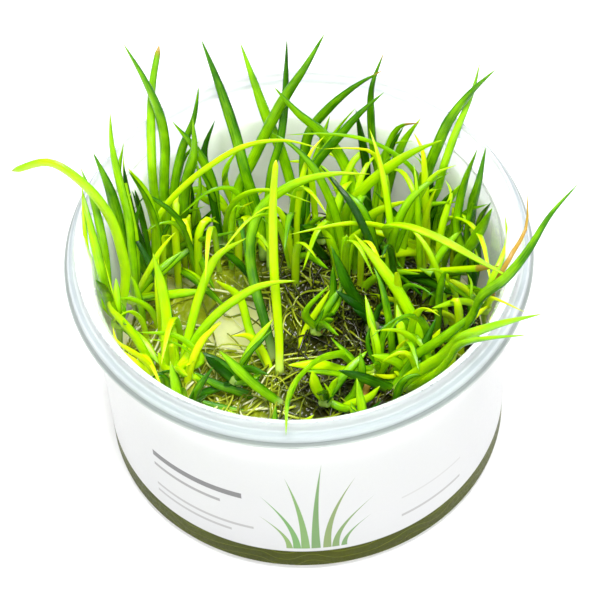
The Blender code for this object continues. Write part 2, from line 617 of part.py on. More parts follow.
def make_all():
    """Clear the scene and build every piece."""
    for old in list(bpy.data.objects):
        bpy.data.objects.remove(old)
    parts = bpy.data.collections.new(COLLECTION)
    helpers = bpy.data.collections.new("cutters")
    bpy.context.scene.collection.children.link(parts)
    bpy.context.scene.collection.children.link(helpers)
    make_cup(parts)
    make_label(parts)
    make_gel(parts)
    make_root_mat(parts, helpers)
    crowns = crown_places()
    leaves = gather_leaves(crowns)
    spread_leaves(leaves, crowns)
    for leaf in leaves:
        if not leaf.rooted:
            made = leaf_object(leaf.node, leaf, parts)
            finish(made, TONES[LONG_LEAVES[leaf.node][0]], 0.4)
    for name, place in crowns.items():
        tone = PLANTLETS[name][0] if name in PLANTLETS else "mid"
        make_plantlet(name, tone, place, [leaf for leaf in leaves if leaf.node == name], parts, helpers)


make_all()
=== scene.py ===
"""Dresses the shoreweed cup for its portrait: wet roots, gel, clear plastic and waxy leaves.

Lengths are in millimetres and are turned into metres where a mesh is made.  The routes of
the leaves are the ones the solids were made from, so every blade lies on its own solid.
"""
import math

import bpy
import numpy as np
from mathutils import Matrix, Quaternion, Vector, kdtree


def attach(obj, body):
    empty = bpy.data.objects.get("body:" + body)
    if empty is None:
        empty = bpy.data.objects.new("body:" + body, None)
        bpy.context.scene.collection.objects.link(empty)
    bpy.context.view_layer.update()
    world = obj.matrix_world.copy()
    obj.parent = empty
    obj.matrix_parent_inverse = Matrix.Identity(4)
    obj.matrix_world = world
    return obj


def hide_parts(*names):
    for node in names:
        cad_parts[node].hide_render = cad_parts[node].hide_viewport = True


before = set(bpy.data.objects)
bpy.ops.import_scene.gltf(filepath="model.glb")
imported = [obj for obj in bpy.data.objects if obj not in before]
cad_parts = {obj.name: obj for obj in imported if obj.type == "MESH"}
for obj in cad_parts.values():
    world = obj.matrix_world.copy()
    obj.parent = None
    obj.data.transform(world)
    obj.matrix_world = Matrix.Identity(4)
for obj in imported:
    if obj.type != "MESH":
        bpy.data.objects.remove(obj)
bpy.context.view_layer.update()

MM = 0.001

# Driving sizes of the cup, in millimetres
SKIRT_RADIUS = 50.0
LIP_RADIUS = 47.5
MOUTH_RADIUS = 45.3
CUP_HEIGHT = 61.0
SKIRT_FOOT = 55.2
WALL = 0.9
FLOOR = 1.2
BOTTOM_RADIUS = 42.7
BOTTOM_CORNER = 1.2
WALL_TOP = 54.6
WALL_TOP_RADIUS = 44.45

# Label, gel and root mat
GAP = 0.3
LABEL_THICKNESS = 0.3
LABEL_FOOT = 1.4
LABEL_TOP = 47.8
GEL_TOP = 16.0
MAT_HEIGHT = 4.0
MAT_EDGE = 0.6
MAT_RADIUS = 39.0
MAT_SHORE = 5.0
POCKET_SHORE = 4.0
POCKETS = ((-13.5, 10.0, 7.0), (-27.0, 25.0, 5.0))

# Place of the photograph's camera, which the traced routes are seen from
LENS_PX = 4000.0
CAMERA_DISTANCE = 875.0
CAMERA_ELEVATION = math.radians(53.84)
CAMERA_ROLL = math.radians(-3.42)
AIM_PX = (303.9, 343.3)
AIM_HEIGHT = 23.75

# Leaf section and the room kept between leaves
KNOT_SPACING = 9.0
FEWEST_KNOTS = 3
MOST_KNOTS = 11
SUBSTEPS = 4
LEAF_CLEARANCE = 0.5
WALL_CLEARANCE = 0.6
MAT_CLEARANCE = 0.9
SPREAD_ROUNDS = 300
LONGEST_MOVE = 0.6
FACE_SIDE = 0.30
BACK_SIDE = 0.62
CROWN_RADIUS = 1.9

# Long leaves, one solid each: tone, width, green at foot and tip on the scale of GREENS, then the
# route from base to tip.  A point is a pixel of the photograph and a height above the table.
LONG_LEAVES = {
    "leaf_01": ("lime", 2.2, (0.82, 0.60), [(117, 317, 32), (120, 277, 43), (118, 240, 54), (107, 212, 62),
        (82, 182, 70), (48, 162, 73), (12, 171, 69)]),
    "leaf_02": ("mid", 2.4, (0.50, 0.24), [(131, 296, 26), (126, 252, 40), (118, 210, 54), (106, 178, 64),
        (93, 152, 70)]),
    "leaf_03": ("mid", 2.0, (0.52, 0.28), [(172, 262, 21), (166, 205, 38), (163, 140, 57), (150, 92, 70),
        (123, 43, 80)]),
    "leaf_04": ("bright", 1.8, (0.74, 0.32), [(165, 256, 21), (158, 205, 38), (147, 165, 50),
        (146, 115, 62), (152, 80, 70), (159, 46, 76)]),
    "leaf_05": ("mid", 1.8, (0.42, 0.20), [(180, 262, 21), (169, 200, 40), (180, 153, 52), (194, 118, 61),
        (203, 96, 66), (199, 86, 68)]),
    "leaf_06": ("mid", 2.2, (0.42, 0.20), [(264, 262, 19), (255, 207, 34), (240, 153, 48), (220, 88, 63),
        (201, 39, 74)]),
    "leaf_07": ("bright", 2.1, (0.40, 0.42), [(319, 252, 20), (306, 220, 28), (289, 169, 42),
        (267, 119, 55), (247, 61, 68), (240, 42, 72)]),
    "leaf_08": ("mid", 2.3, (0.60, 0.22), [(240, 262, 19), (235, 196, 36), (256, 153, 48), (285, 98, 62),
        (304, 69, 70), (325, 33, 79)]),
    "leaf_09": ("dark", 1.6, (0.50, 0.06), [(270, 272, 19), (268, 191, 38), (280, 136, 52), (285, 85, 64),
        (287, 38, 76)]),
    "leaf_10": ("bright", 2.1, (0.64, 0.34), [(361, 262, 19), (357, 215, 30), (349, 178, 40),
        (330, 145, 50), (298, 114, 60), (274, 87, 68)]),
    "leaf_11": ("dark", 2.1, (0.38, 0.18), [(312, 266, 19), (303, 181, 38), (308, 138, 49), (332, 107, 58),
        (361, 82, 66), (383, 70, 70)]),
    "leaf_12": ("dark", 1.6, (0.42, 0.16), [(386, 258, 19), (384, 191, 34), (374, 140, 48), (371, 92, 62),
        (384, 52, 72)]),
    "leaf_13": ("lime", 2.2, (0.84, 0.54), [(325, 249, 20), (340, 215, 33), (367, 185, 46), (405, 156, 58),
        (442, 140, 66)]),
    "leaf_14": ("mid", 2.2, (0.48, 0.24), [(405, 262, 19), (415, 207, 34), (437, 155, 50), (464, 103, 66),
        (496, 69, 76)]),
    "leaf_15": ("mid", 1.6, (0.62, 0.38), [(416, 264, 19), (424, 220, 30), (453, 157, 48), (470, 115, 60),
        (480, 64, 74)]),
    "leaf_16": ("dark", 2.0, (0.42, 0.22), [(466, 270, 21), (471, 212, 38), (479, 181, 50),
        (486, 147, 64)]),
    "leaf_17": ("dark", 2.4, (0.48, 0.36), [(463, 290, 21), (470, 260, 30), (483, 226, 46),
        (492, 208, 58)]),
    "leaf_18": ("lime", 2.3, (0.72, 0.52), [(402, 258, 21), (387, 230, 40), (396, 224, 48), (424, 231, 53),
        (462, 250, 58), (491, 267, 61), (513, 279, 63)]),
    "leaf_19": ("mid", 2.2, (0.58, 0.24), [(424, 350, 19), (455, 333, 36), (484, 309, 54), (512, 283, 66),
        (537, 237, 76), (556, 207, 81), (579, 183, 85)]),
    "leaf_20": ("bright", 2.2, (0.74, 0.42), [(396, 398, 19), (434, 367, 38), (472, 340, 58),
        (510, 323, 67), (543, 314, 70)]),
    "leaf_21": ("bright", 2.2, (0.58, 0.70), [(420, 370, 19), (420, 345, 26), (407, 312, 34),
        (384, 272, 44), (354, 234, 52)]),
    "leaf_22": ("lime", 1.8, (0.84, 0.74), [(279, 380, 19), (278, 330, 30), (274, 268, 46), (273, 205, 60),
        (276, 160, 70)]),
    "leaf_23": ("mid", 2.1, (0.12, 0.66), [(272, 368, 19), (260, 316, 28), (250, 258, 38), (255, 220, 45),
        (276, 195, 51), (315, 176, 56), (370, 174, 58)]),
    "leaf_24": ("lime", 1.7, (0.46, 0.86), [(276, 372, 20), (255, 333, 24), (240, 297, 32),
        (211, 277, 40)]),
    "leaf_25": ("mid", 1.8, (0.62, 0.66), [(181, 376, 19), (191, 331, 28), (205, 284, 38), (222, 253, 46),
        (247, 238, 52)]),
    "leaf_26": ("bright", 2.2, (0.78, 0.58), [(165, 381, 19), (167, 325, 32), (160, 278, 43),
        (153, 253, 49)]),
    "leaf_27": ("bright", 1.3, (0.78, 0.66), [(147, 283, 23), (150, 240, 34), (170, 200, 44),
        (210, 165, 54), (265, 140, 61), (323, 149, 63)]),
    "leaf_28": ("bright", 2.2, (0.76, 0.48), [(357, 372, 20), (345, 357, 28), (320, 358, 40),
        (295, 381, 52), (287, 410, 60), (286, 424, 64), (286, 438, 62)]),
    "leaf_29": ("mid", 2.0, (0.32, 0.46), [(281, 410, 19), (264, 392, 24), (241, 370, 30), (221, 350, 36)]),
    "leaf_30": ("mid", 1.2, (0.50, 0.58), [(413, 215, 24), (417, 180, 40), (405, 162, 47), (376, 143, 54),
        (335, 134, 57), (285, 135, 58)]),
    "leaf_31": ("mid", 1.5, (0.60, 0.38), [(402, 392, 20), (440, 368, 42), (470, 350, 60), (499, 341, 67),
        (528, 336, 69)]),
}

# Plantlets: tone, crown, then each short leaf that grows from it as width and route
PLANTLETS = {
    "plantlet_01": ("mid", (118, 322, 31), [
        (1.6, [(107, 268, 44), (101, 239, 51), (95, 210, 58), (80, 167, 67)]),
        (1.7, [(104, 285, 42), (98, 262, 48), (91, 232, 57), (82, 189, 66)]),
        (1.7, [(127, 330, 30), (143, 341, 27), (160, 365, 25)]),
        (1.8, [(108, 301, 37), (94, 280, 46)])]),
    "plantlet_02": ("mid", (134, 298, 26), [
        (1.6, [(128, 250, 42), (119, 201, 56), (111, 143, 68), (110, 111, 75)]),
        (1.4, [(126, 215, 50), (120, 184, 58), (119, 165, 62), (124, 143, 68)]),
        (1.3, [(144, 291, 27), (156, 283, 29)])]),
    "plantlet_03": ("dark", (153, 283, 23), [
        (1.5, [(139, 239, 38), (130, 210, 48), (123, 165, 62)]),
        (1.7, [(133, 249, 38), (134, 230, 44), (140, 203, 53)]),
        (1.9, [(155, 226, 40), (147, 196, 49), (128, 168, 60)])]),
    "plantlet_04": ("bright", (177, 386, 19), [
        (1.9, [(190, 376, 23), (202, 352, 29), (180, 336, 33), (139, 332, 38)]),
        (1.4, [(175, 366, 24), (176, 354, 28)]),
        (1.3, [(168, 374, 24), (158, 352, 31)]),
        (1.4, [(194, 380, 22), (212, 386, 24)])]),
    "plantlet_05": ("dark", (174, 268, 20), [
        (1.6, [(167, 240, 29), (169, 224, 34), (171, 196, 44)]),
        (1.5, [(180, 248, 26), (196, 230, 32), (213, 209, 41)]),
        (1.3, [(184, 246, 29), (206, 239, 36), (238, 231, 42)])]),
    "plantlet_06": ("dark", (190, 252, 20), [
        (1.4, [(198, 229, 28), (196, 212, 34), (190, 192, 42)]),
        (2.0, [(180, 215, 36), (186, 180, 48), (196, 147, 58), (193, 119, 64)]),
        (1.6, [(182, 208, 38), (187, 170, 50), (193, 144, 58)]),
        (1.4, [(181, 224, 31), (190, 210, 37), (205, 206, 41)])]),
    "plantlet_07": ("dark", (222, 264, 19), [
        (1.8, [(216, 230, 29), (215, 195, 40), (203, 160, 51), (172, 121, 62)]),
        (1.5, [(214, 205, 38), (205, 160, 50), (204, 137, 56), (215, 120, 60)])]),
    "plantlet_08": ("bright", (250, 240, 19), [
        (1.3, [(242, 219, 26), (231, 190, 37), (230, 162, 46), (243, 145, 52)]),
        (1.7, [(240, 224, 26), (220, 205, 33), (193, 194, 40)])]),
    "plantlet_09": ("mid", (322, 253, 19), [
        (1.8, [(309, 248, 22), (296, 230, 28), (279, 207, 37)]),
        (1.4, [(308, 259, 21), (288, 242, 27), (276, 229, 32)]),
        (1.3, [(321, 240, 24), (312, 212, 33)])]),
    "plantlet_10": ("dark", (298, 272, 19), [
        (1.8, [(300, 205, 35), (316, 160, 46), (348, 122, 57), (384, 92, 66)]),
        (1.4, [(304, 200, 36), (318, 155, 46), (328, 116, 56)])]),
    "plantlet_11": ("dark", (378, 250, 19), [
        (1.6, [(368, 205, 31), (366, 165, 43), (356, 110, 60)]),
        (1.6, [(388, 190, 34), (397, 152, 46), (421, 118, 57)]),
        (1.4, [(384, 180, 37), (389, 140, 50), (408, 121, 57), (422, 123, 60)])]),
    "plantlet_12": ("mid", (436, 264, 19), [
        (1.6, [(438, 219, 30), (449, 200, 36), (467, 180, 43)]),
        (1.6, [(428, 225, 28), (438, 206, 36), (459, 201, 41)]),
        (1.5, [(414, 212, 34), (421, 198, 38), (435, 187, 43)])]),
    "plantlet_13": ("dark", (472, 294, 20), [
        (1.6, [(465, 232, 37), (466, 190, 49), (482, 147, 62)]),
        (1.3, [(478, 232, 37), (492, 202, 46)]),
        (1.6, [(471, 308, 22), (474, 324, 24)]),
        (1.4, [(484, 290, 26), (494, 297, 31)])]),
    "plantlet_14": ("dark", (386, 284, 19), [
        (1.8, [(405, 275, 25), (430, 278, 30), (455, 293, 34)]),
        (1.2, [(425, 274, 30), (463, 270, 38), (500, 266, 46)])]),
    "plantlet_15": ("dark", (373, 338, 19), [
        (1.7, [(368, 312, 25), (354, 292, 31)]),
        (1.2, [(376, 312, 26), (388, 301, 29), (400, 304, 30)]),
        (1.6, [(388, 332, 22), (402, 316, 29)])]),
    "plantlet_16": ("mid", (318, 344, 19), [
        (1.3, [(321, 335, 23), (323, 323, 28)]),
        (1.5, [(304, 328, 27), (305, 312, 33), (329, 285, 42)]),
        (1.5, [(328, 322, 24), (333, 290, 31), (333, 266, 37)])]),
    "plantlet_17": ("mid", (380, 382, 19), [
        (1.3, [(380, 350, 27), (388, 320, 35)]),
        (2.1, [(360, 375, 23), (325, 366, 30), (288, 365, 35)]),
        (1.4, [(368, 392, 20), (363, 408, 20)])]),
    "plantlet_18": ("mid", (326, 411, 19), [
        (2.0, [(319, 396, 25), (312, 371, 33)]),
        (1.5, [(338, 407, 22), (353, 409, 26)])]),
    "plantlet_19": ("bright", (408, 384, 19), [
        (1.5, [(409, 362, 26), (408, 346, 31)]),
        (1.8, [(428, 352, 25), (446, 331, 31)]),
        (1.6, [(392, 385, 22), (374, 387, 26)])]),
    "plantlet_20": ("dark", (236, 392, 19), [
        (1.7, [(226, 374, 24), (205, 356, 30)]),
        (1.5, [(216, 388, 22), (191, 398, 25)]),
        (1.4, [(250, 384, 22), (260, 370, 26)])]),
    "plantlet_21": ("brown", (484, 308, 27), [
        (0.9, [(510, 276, 50), (520, 248, 59), (530, 218, 65), (527, 189, 71)]),
        (1.2, [(500, 302, 56), (514, 307, 63), (528, 314, 65)])]),
}

# Crowns behind the front wall, where the photograph cannot look, as x and y
FRONT_CROWNS = {
    "plantlet_22": (-27.0, -21.0),
    "plantlet_23": (-8.0, -31.0),
    "plantlet_24": (12.0, -30.0),
    "plantlet_25": (29.0, -21.0),
}
FRONT_LEAVES = 6
FRONT_SEED = 41
FRONT_RISE = 12.0, 24.0
FRONT_REACH = 4.0, 11.0
FRONT_LEAN = 0.0, -0.4, 0.0

# Low leaves that fill each traced plantlet
LOW_LEAVES = 2
LOW_SEED = 17
LOW_RISE = 5.0, 13.0
LOW_REACH = 6.0, 12.0

# Widths of the leaves in both kinds of ring
RING_WIDTHS = 1.3, 1.9

# Taper of a traced leaf: how much it narrows, where that starts, and its power
TRACED_TAPER, TRACED_START, TRACED_BEND = 0.86, 0.58, 1.8

# Grids of the visible pieces, rows before columns, and counts and seeds of what grows at random
ROUND_STEPS = 192
LABEL_STEPS = 240
MAT_ROWS = 110
MAT_COLUMNS = 320
LEAF_GRID = 40, 14
SHORT_GRID = 20, 10
CROWN_COLUMNS = 18
ROOT_ROWS = 26
ROOT_COLUMNS = 5
ROOT_COUNT = 520
ROOT_SEED = 29
ROOT_LENGTHS = 14.0, 46.0
ROOT_HUMPS = 0.0, 2.2
ROOT_RADII = 0.16, 0.34
YOUNG_LEAVES = 4
YOUNG_SEED = 83
ROUTE_POINTS = 9

# Outline of a blade in shares of its length, and its groove
TAPER_START, TAPER_LENGTH, TAPER_BEND = 0.66, 0.34, 1.5
SHARP_TAPER, BLUNT_TAPER = 0.92, 0.40
SLIM_FOOT, FOOT_LENGTH = 0.84, 0.3
FLARE, FLARE_LENGTH = 0.12, 0.05
TIP_START, TIP_LENGTH = 0.965, 0.036
GROOVE, GROOVE_WIDTH = 0.16, 0.35
RIB = 0.10

# Lean, bow, width and green of the leaves in the seeded beds.  Greens are a mean and a spread
LEAN_AWAY, LEAN_SPREAD = 0.10, 0.38
BED_BOW = 0.55, 0.85
BED_WIDTHS = 1.3, 2.0
BED_GREEN = 0.54, 0.20
BED_GREEN_ENDS = 0.14, 0.86

# Greens of a plantlet's own leaves and of its young ones against its level, and of tip against foot
OWN_GREEN = 0.0, 0.16
YOUNG_GREEN = 0.06, 0.22
TIP_GREEN = -0.05, 0.16

# Young leaves: share of one parent, how much they are cut shorter, bow and widths
YOUNG_MIX = 0.15, 0.85
YOUNG_LENGTH = 0.75, 1.0
YOUNG_BOW = 0.9
YOUNG_WIDTHS = 1.0, 1.5

# Painted light and shade on the leaves, in millimetres on the mat: the painted pool of shade's middle,
# spread and depth, then the start, run and strength of yellower painted light at the sides and its run at
# the front
SHADE_POOL_MIDDLE = 16.0, -2.0
SHADE_POOL_SPREAD = 120.0
SHADE_POOL_DEPTH = 0.18
SIDES_MIDDLE, SIDES_START, SIDES_RUN, SIDES_PAINTED_LIGHT = 8.0, 16.0, 14.0, 0.08
FRONT_START, FRONT_RUN = -22.0, 12.0

# How much wider the visible blades are than the traced ones, and how deep a foot goes
WIDER = 1.12
SHORT_WIDER = 1.22
BROADER = {"leaf_21": 1.06, "leaf_20": 1.08, "leaf_10": 1.08}
FOOT_SINK = 1.6

# The label's seam: its bearing, length of the overlap, run and height of the step, angles in radians
SEAM_BEARING = math.pi / 2 + 0.35
LABEL_OVERLAP = 0.14
OVERLAP_RUN = 0.10
OVERLAP_LIFT = 0.32

# Cutters that open the pockets, and the blanket's place on the scale of root tints
POCKET_MARGIN = 1.2
CUTTER_HALF = 4.0
CUTTER_SIDES = 48
BLANKET_SHADE = 0.22
# How far from the middle a turned profile starts, small and large
AXIS = 0.05
HUB = 0.3

# Picture, table and room
PICTURE_PX = 600.0
SENSOR = 36.0
PICTURE_GAMMA = 1.09
ROOM_GLOW = 0.32
LIGHTS_AIM = (0.0, 0.0, 0.04)
# Soft lights: name, place and size in metres, power in watts
LIGHTS = (
    ("top", (0.03, -0.12, 1.0), 0.40, 14.5),
    ("left_back", (-0.55, 0.65, 0.65), 0.6, 2.2),
    ("right_back", (0.60, 0.60, 0.70), 0.6, 3.0),
    ("back_glint", (0.05, 0.60, 0.86), 0.14, 0.8),
    ("front", (0.15, -0.90, 0.60), 0.5, 1.6),
)

# Greens from deepest to yellowest, on a scale of 0 to 1
GREENS = (
    (0.0, (0.005, 0.055, 0.0002)),
    (0.22, (0.042, 0.205, 0.0003)),
    (0.42, (0.230, 0.555, 0.0005)),
    (0.62, (0.450, 0.860, 0.0008)),
    (0.82, (0.620, 0.965, 0.001)),
    (1.0, (0.750, 0.990, 0.003)),
)
LEAF_FOOT = (0.60, 0.68, 0.22)
DEAD_BROWN = (0.42, 0.17, 0.03)
ROOT_TINTS = (
    (0.0, (0.020, 0.020, 0.002)),
    (0.35, (0.09, 0.12, 0.002)),
    (0.65, (0.30, 0.37, 0.008)),
    (0.86, (0.56, 0.62, 0.05)),
    (1.0, (0.80, 0.80, 0.42)),
)
GEL_YELLOWS = (0.93, 0.95, 0.45), (0.80, 0.84, 0.22)
CLEAR_TINT = (0.96, 0.98, 0.97)
RIM_GREYS = (0.60, 0.66, 0.69), (0.69, 0.74, 0.76)
# Painted shade along the rim's bends and at the foot of its skirt: height, reach and colour
PAINTED_SHADE_LINES = (
    (59.3, 1.1, (0.50, 0.56, 0.58)),
    (58.3, 0.5, (0.36, 0.41, 0.43)),
    (56.1, 0.5, (0.22, 0.25, 0.25)),
    (55.3, 0.35, (0.16, 0.19, 0.13)),
)
PAPER_WHITES = (0.66, 0.665, 0.67), (0.62, 0.63, 0.64)
# Inside of the label: the paper's back with painted light, paler and green as from light off the leaves
INNER_PAPERS_WITH_BOUNCE = (0.91, 0.96, 0.80), (0.86, 0.92, 0.72)
BAND_OLIVES = (0.032, 0.040, 0.0005), (0.066, 0.076, 0.001)
WAVE_OLIVE = (0.22, 0.27, 0.02)

# Pattern of the label, in millimetres round the wall from its front and above the table.
# Bars: middle, height, half width, half thickness, ink.  Reeds: foot, rise, lean, half width.
# A blur is half the width of a mark's soft edge, and an ink is how far it covers the paper
BAND_TOP = 7.2
BAR_BLUR, REED_BLUR, BAND_BLUR = 0.06, 0.07, 0.08
BAR_INK, REED_INK = 0.9, 0.85
BARS = (
    (-26.0, 27.0, 11.0, 1.00, 0.16),
    (-28.5, 22.8, 8.5, 0.55, 0.30),
    (-25.0, 15.0, 12.0, 0.45, 0.40),
    (-27.5, 12.4, 9.5, 0.45, 0.40),
    (27.0, 13.0, 8.0, 0.45, 0.40),
    (27.0, 20.0, 8.0, 0.30, 0.55),
)
REED_FOOT = 8.4
REEDS = (
    (0.0, 33.0, 2.0, 1.00), (-2.2, 28.0, -3.4, 0.95), (2.4, 26.0, 6.4, 0.90), (-4.0, 20.0, -7.0, 0.85),
    (4.2, 17.0, 8.5, 0.80), (-5.6, 12.0, -6.0, 0.70), (6.0, 10.0, 6.0, 0.65),
)

# Place on the scale of greens, patchiness and softness of each finish
LEAF_FINISHES = {
    "lime": (0.84, 0.46, 0.5),
    "bright": (0.68, 0.50, 0.45),
    "mid": (0.48, 0.52, 0.4),
    "dark": (0.22, 0.44, 0.3),
    "brown": (0.55, 0.35, 0.4),
}
BLUNT_LEAVES = ("leaf_01", "leaf_04", "leaf_22")
DEAD_TIPS = {
    "leaf_01": 0.03, "leaf_04": 0.05, "leaf_11": 0.06, "leaf_12": 0.05, "leaf_24": 0.04, "leaf_30": 0.04,
}
# Traced short leaves that differ from their plantlet: green, and the share that is dead
ODD_LEAVES = {
    ("plantlet_08", 0): (0.80, 0.0),
    ("plantlet_11", 2): (0.50, 0.16),
    ("plantlet_14", 1): (0.86, 0.35),
    ("plantlet_16", 0): (0.70, 0.75),
    ("plantlet_17", 1): (0.62, 0.0),
    ("plantlet_18", 0): (0.64, 0.0),
    ("plantlet_17", 2): (0.80, 0.55),
    ("plantlet_21", 0): (0.50, 1.1),
}
# Leaves traced in the thick of the tangle: green, width, and the route from base to tip
FILL_LEAVES = {
    "plantlet_15": [
        (0.16, 2.5, [(374, 329, 20), (366, 316, 24), (356, 298, 30), (347, 284, 35), (338, 262, 41),
            (331, 246, 45)]),
        (0.15, 1.8, [(392, 352, 20), (397, 334, 26), (401, 316, 31)])],
    "plantlet_09": [
        (0.16, 2.0, [(330, 262, 20), (318, 250, 27), (306, 236, 33), (292, 222, 38), (279, 208, 43)]),
        (0.60, 2.4, [(352, 268, 20), (356, 240, 28), (366, 220, 34), (386, 207, 39), (412, 200, 42)]),
        (0.66, 2.6, [(344, 286, 20), (346, 262, 27), (352, 240, 34), (366, 226, 39)]),
        (0.48, 2.2, [(338, 280, 20), (336, 258, 28), (329, 238, 35), (318, 224, 40)])],
    "plantlet_11": [
        (0.46, 1.9, [(366, 262, 20), (380, 238, 28), (398, 216, 35), (424, 205, 40), (458, 202, 43)]),
        (0.85, 1.3, [(372, 262, 20), (380, 215, 34), (384, 180, 45), (372, 152, 54), (350, 148, 57),
            (323, 149, 58)]),
        (0.58, 2.2, [(385, 290, 20), (390, 262, 28), (399, 238, 36), (410, 222, 42)]),
        (0.30, 1.3, [(412, 262, 20), (406, 229, 30), (390, 208, 38), (374, 191, 44)])],
    "plantlet_12": [
        (0.82, 1.6, [(431, 262, 20), (424, 240, 30), (428, 208, 42), (436, 189, 49)]),
        (0.44, 1.4, [(420, 262, 20), (431, 238, 28), (452, 226, 34), (474, 221, 38)]),
        (0.20, 1.5, [(455, 262, 20), (458, 232, 32), (466, 212, 40), (488, 204, 46)])],
    "plantlet_14": [
        (0.78, 1.6, [(366, 296, 20), (380, 297, 23), (398, 301, 25), (414, 305, 26)]),
        (0.97, 1.1, [(364, 304, 20), (378, 311, 23), (395, 320, 24)]),
        (0.50, 2.0, [(360, 296, 20), (372, 280, 26), (396, 272, 31), (420, 274, 34)])],
    "plantlet_13": [
        (0.42, 1.7, [(428, 312, 20), (439, 292, 27), (458, 286, 33), (480, 289, 38), (494, 296, 42)]),
        (0.88, 2.0, [(452, 330, 20), (452, 318, 25), (438, 311, 30), (424, 311, 33)])],
    "plantlet_19": [
        (0.64, 2.2, [(385, 380, 20), (415, 356, 30), (447, 335, 40), (480, 308, 50)]),
        (0.70, 2.3, [(402, 394, 20), (425, 372, 28), (452, 345, 36), (470, 322, 42)]),
        (0.52, 2.2, [(388, 396, 20), (405, 372, 26), (424, 345, 33), (436, 318, 39)])],
    "plantlet_16": [
        (0.84, 1.5, [(298, 351, 20), (307, 327, 24), (317, 311, 28), (330, 290, 33)]),
        (0.22, 1.8, [(324, 300, 20), (311, 303, 25), (306, 322, 27)])],
    "plantlet_18": [
        (0.62, 1.9, [(336, 414, 19), (350, 404, 22), (368, 398, 25), (380, 386, 29)]),
        (0.40, 2.2, [(342, 408, 19), (356, 392, 24), (362, 370, 30), (360, 352, 34)])],
    "plantlet_17": [
        (0.44, 2.6, [(396, 392, 20), (384, 386, 24), (364, 378, 29), (338, 370, 33)]),
        (0.66, 1.8, [(372, 388, 20), (384, 366, 26), (398, 352, 31), (414, 344, 34)])],
    "plantlet_04": [
        (0.74, 1.7, [(172, 388, 19), (158, 378, 22), (140, 366, 26), (120, 349, 29)]),
        (0.66, 1.7, [(176, 388, 19), (176, 370, 23), (175, 352, 28), (172, 338, 31)]),
        (0.34, 2.1, [(181, 374, 20), (192, 345, 28), (214, 317, 35), (238, 298, 40), (265, 284, 44),
            (298, 281, 46)]),
        (0.80, 1.8, [(186, 390, 20), (192, 362, 28), (204, 338, 33), (222, 322, 36)])],
    "plantlet_20": [
        (0.46, 1.7, [(264, 418, 18.6), (240, 412, 20), (216, 406, 21.5), (196, 399, 23)]),
        (0.20, 2.0, [(262, 400, 19), (240, 392, 22), (216, 384, 24), (194, 372, 27)]),
        (0.80, 1.7, [(272, 374, 20), (262, 350, 25), (248, 336, 29), (231, 336, 31)]),
        (0.15, 2.1, [(250, 384, 20), (232, 371, 24), (212, 358, 27), (200, 352, 28)])],
}
# Seeded beds of more leaves: how many, ranges of x and y on the mat, and range of rise
FILL_BEDS = (
    (38, (-2.0, 35.0), (15.0, 32.0), (24.0, 44.0)),
    (16, (18.0, 36.0), (-8.0, 14.0), (20.0, 34.0)),
    (12, (16.0, 34.0), (-24.0, -10.0), (12.0, 24.0)),
    (22, (-34.0, -4.0), (20.0, 34.0), (20.0, 42.0)),
    (18, (-36.0, -26.0), (-16.0, 10.0), (12.0, 26.0)),
    (10, (-14.0, 26.0), (-34.0, -26.0), (8.0, 16.0)),
)


def photo_to_space(px, py, height):
    """Place of a photograph pixel, for a point at the given height."""
    across, down = px - AIM_PX[0], py - AIM_PX[1]
    turn_cos, turn_sin = math.cos(CAMERA_ROLL), math.sin(CAMERA_ROLL)
    right = (across * turn_cos + down * turn_sin) / LENS_PX
    below = (down * turn_cos - across * turn_sin) / LENS_PX
    cos_up, sin_up = math.cos(CAMERA_ELEVATION), math.sin(CAMERA_ELEVATION)
    eye = np.array((0.0, -CAMERA_DISTANCE * cos_up, AIM_HEIGHT + CAMERA_DISTANCE * sin_up))
    ray = np.array((right, cos_up - below * sin_up, -sin_up - below * cos_up))
    return eye + ray * (height - eye[2]) / ray[2]


def wall_radius(height):
    """Inner radius of the cup at a height."""
    heights = (0.0, WALL_TOP, CUP_HEIGHT)
    radii = (BOTTOM_RADIUS - WALL, WALL_TOP_RADIUS - WALL, MOUTH_RADIUS)
    return np.interp(height, heights, radii)


def mat_top(x, y):
    """Height of the root mat's lumpy top, sinking to the gel at its rim and round its pockets."""
    lumps = 0.9 * np.sin(0.31 * x + 0.8) * np.cos(0.27 * y - 0.4) + 0.5 * np.sin(0.26 * x - 0.22 * y)
    shore = np.clip((MAT_RADIUS - np.hypot(x, y)) / MAT_SHORE, 0.0, 1.0)
    for pocket_x, pocket_y, radius in POCKETS:
        away = np.hypot(x - pocket_x, y - pocket_y) - radius
        shore = shore * np.clip(away / POCKET_SHORE, 0.0, 1.0)
    return GEL_TOP + GAP + MAT_EDGE + (MAT_HEIGHT + lumps) * np.sqrt(shore)


def inside_cup(point, margin):
    """Lift a traced point along its line of sight, or pull it in, until the cup's wall is clear."""
    px, py, height = point
    place = photo_to_space(px, py, height)
    while height < CUP_HEIGHT and math.hypot(place[0], place[1]) > wall_radius(height) - margin:
        height += 0.5
        place = photo_to_space(px, py, height)
    return place


def traced(route, width):
    """Places of a traced route, for a leaf of the given width."""
    return [inside_cup(point, 0.5 * width + WALL_CLEARANCE) for point in route]


def pull_inside(route):
    """Pull a seeded route in where it would pass the cup's wall."""
    limit = wall_radius(route[:, 2]) - 2.0
    route[:, :2] *= np.minimum(1.0, limit / np.hypot(route[:, 0], route[:, 1]))[:, None]
    return route


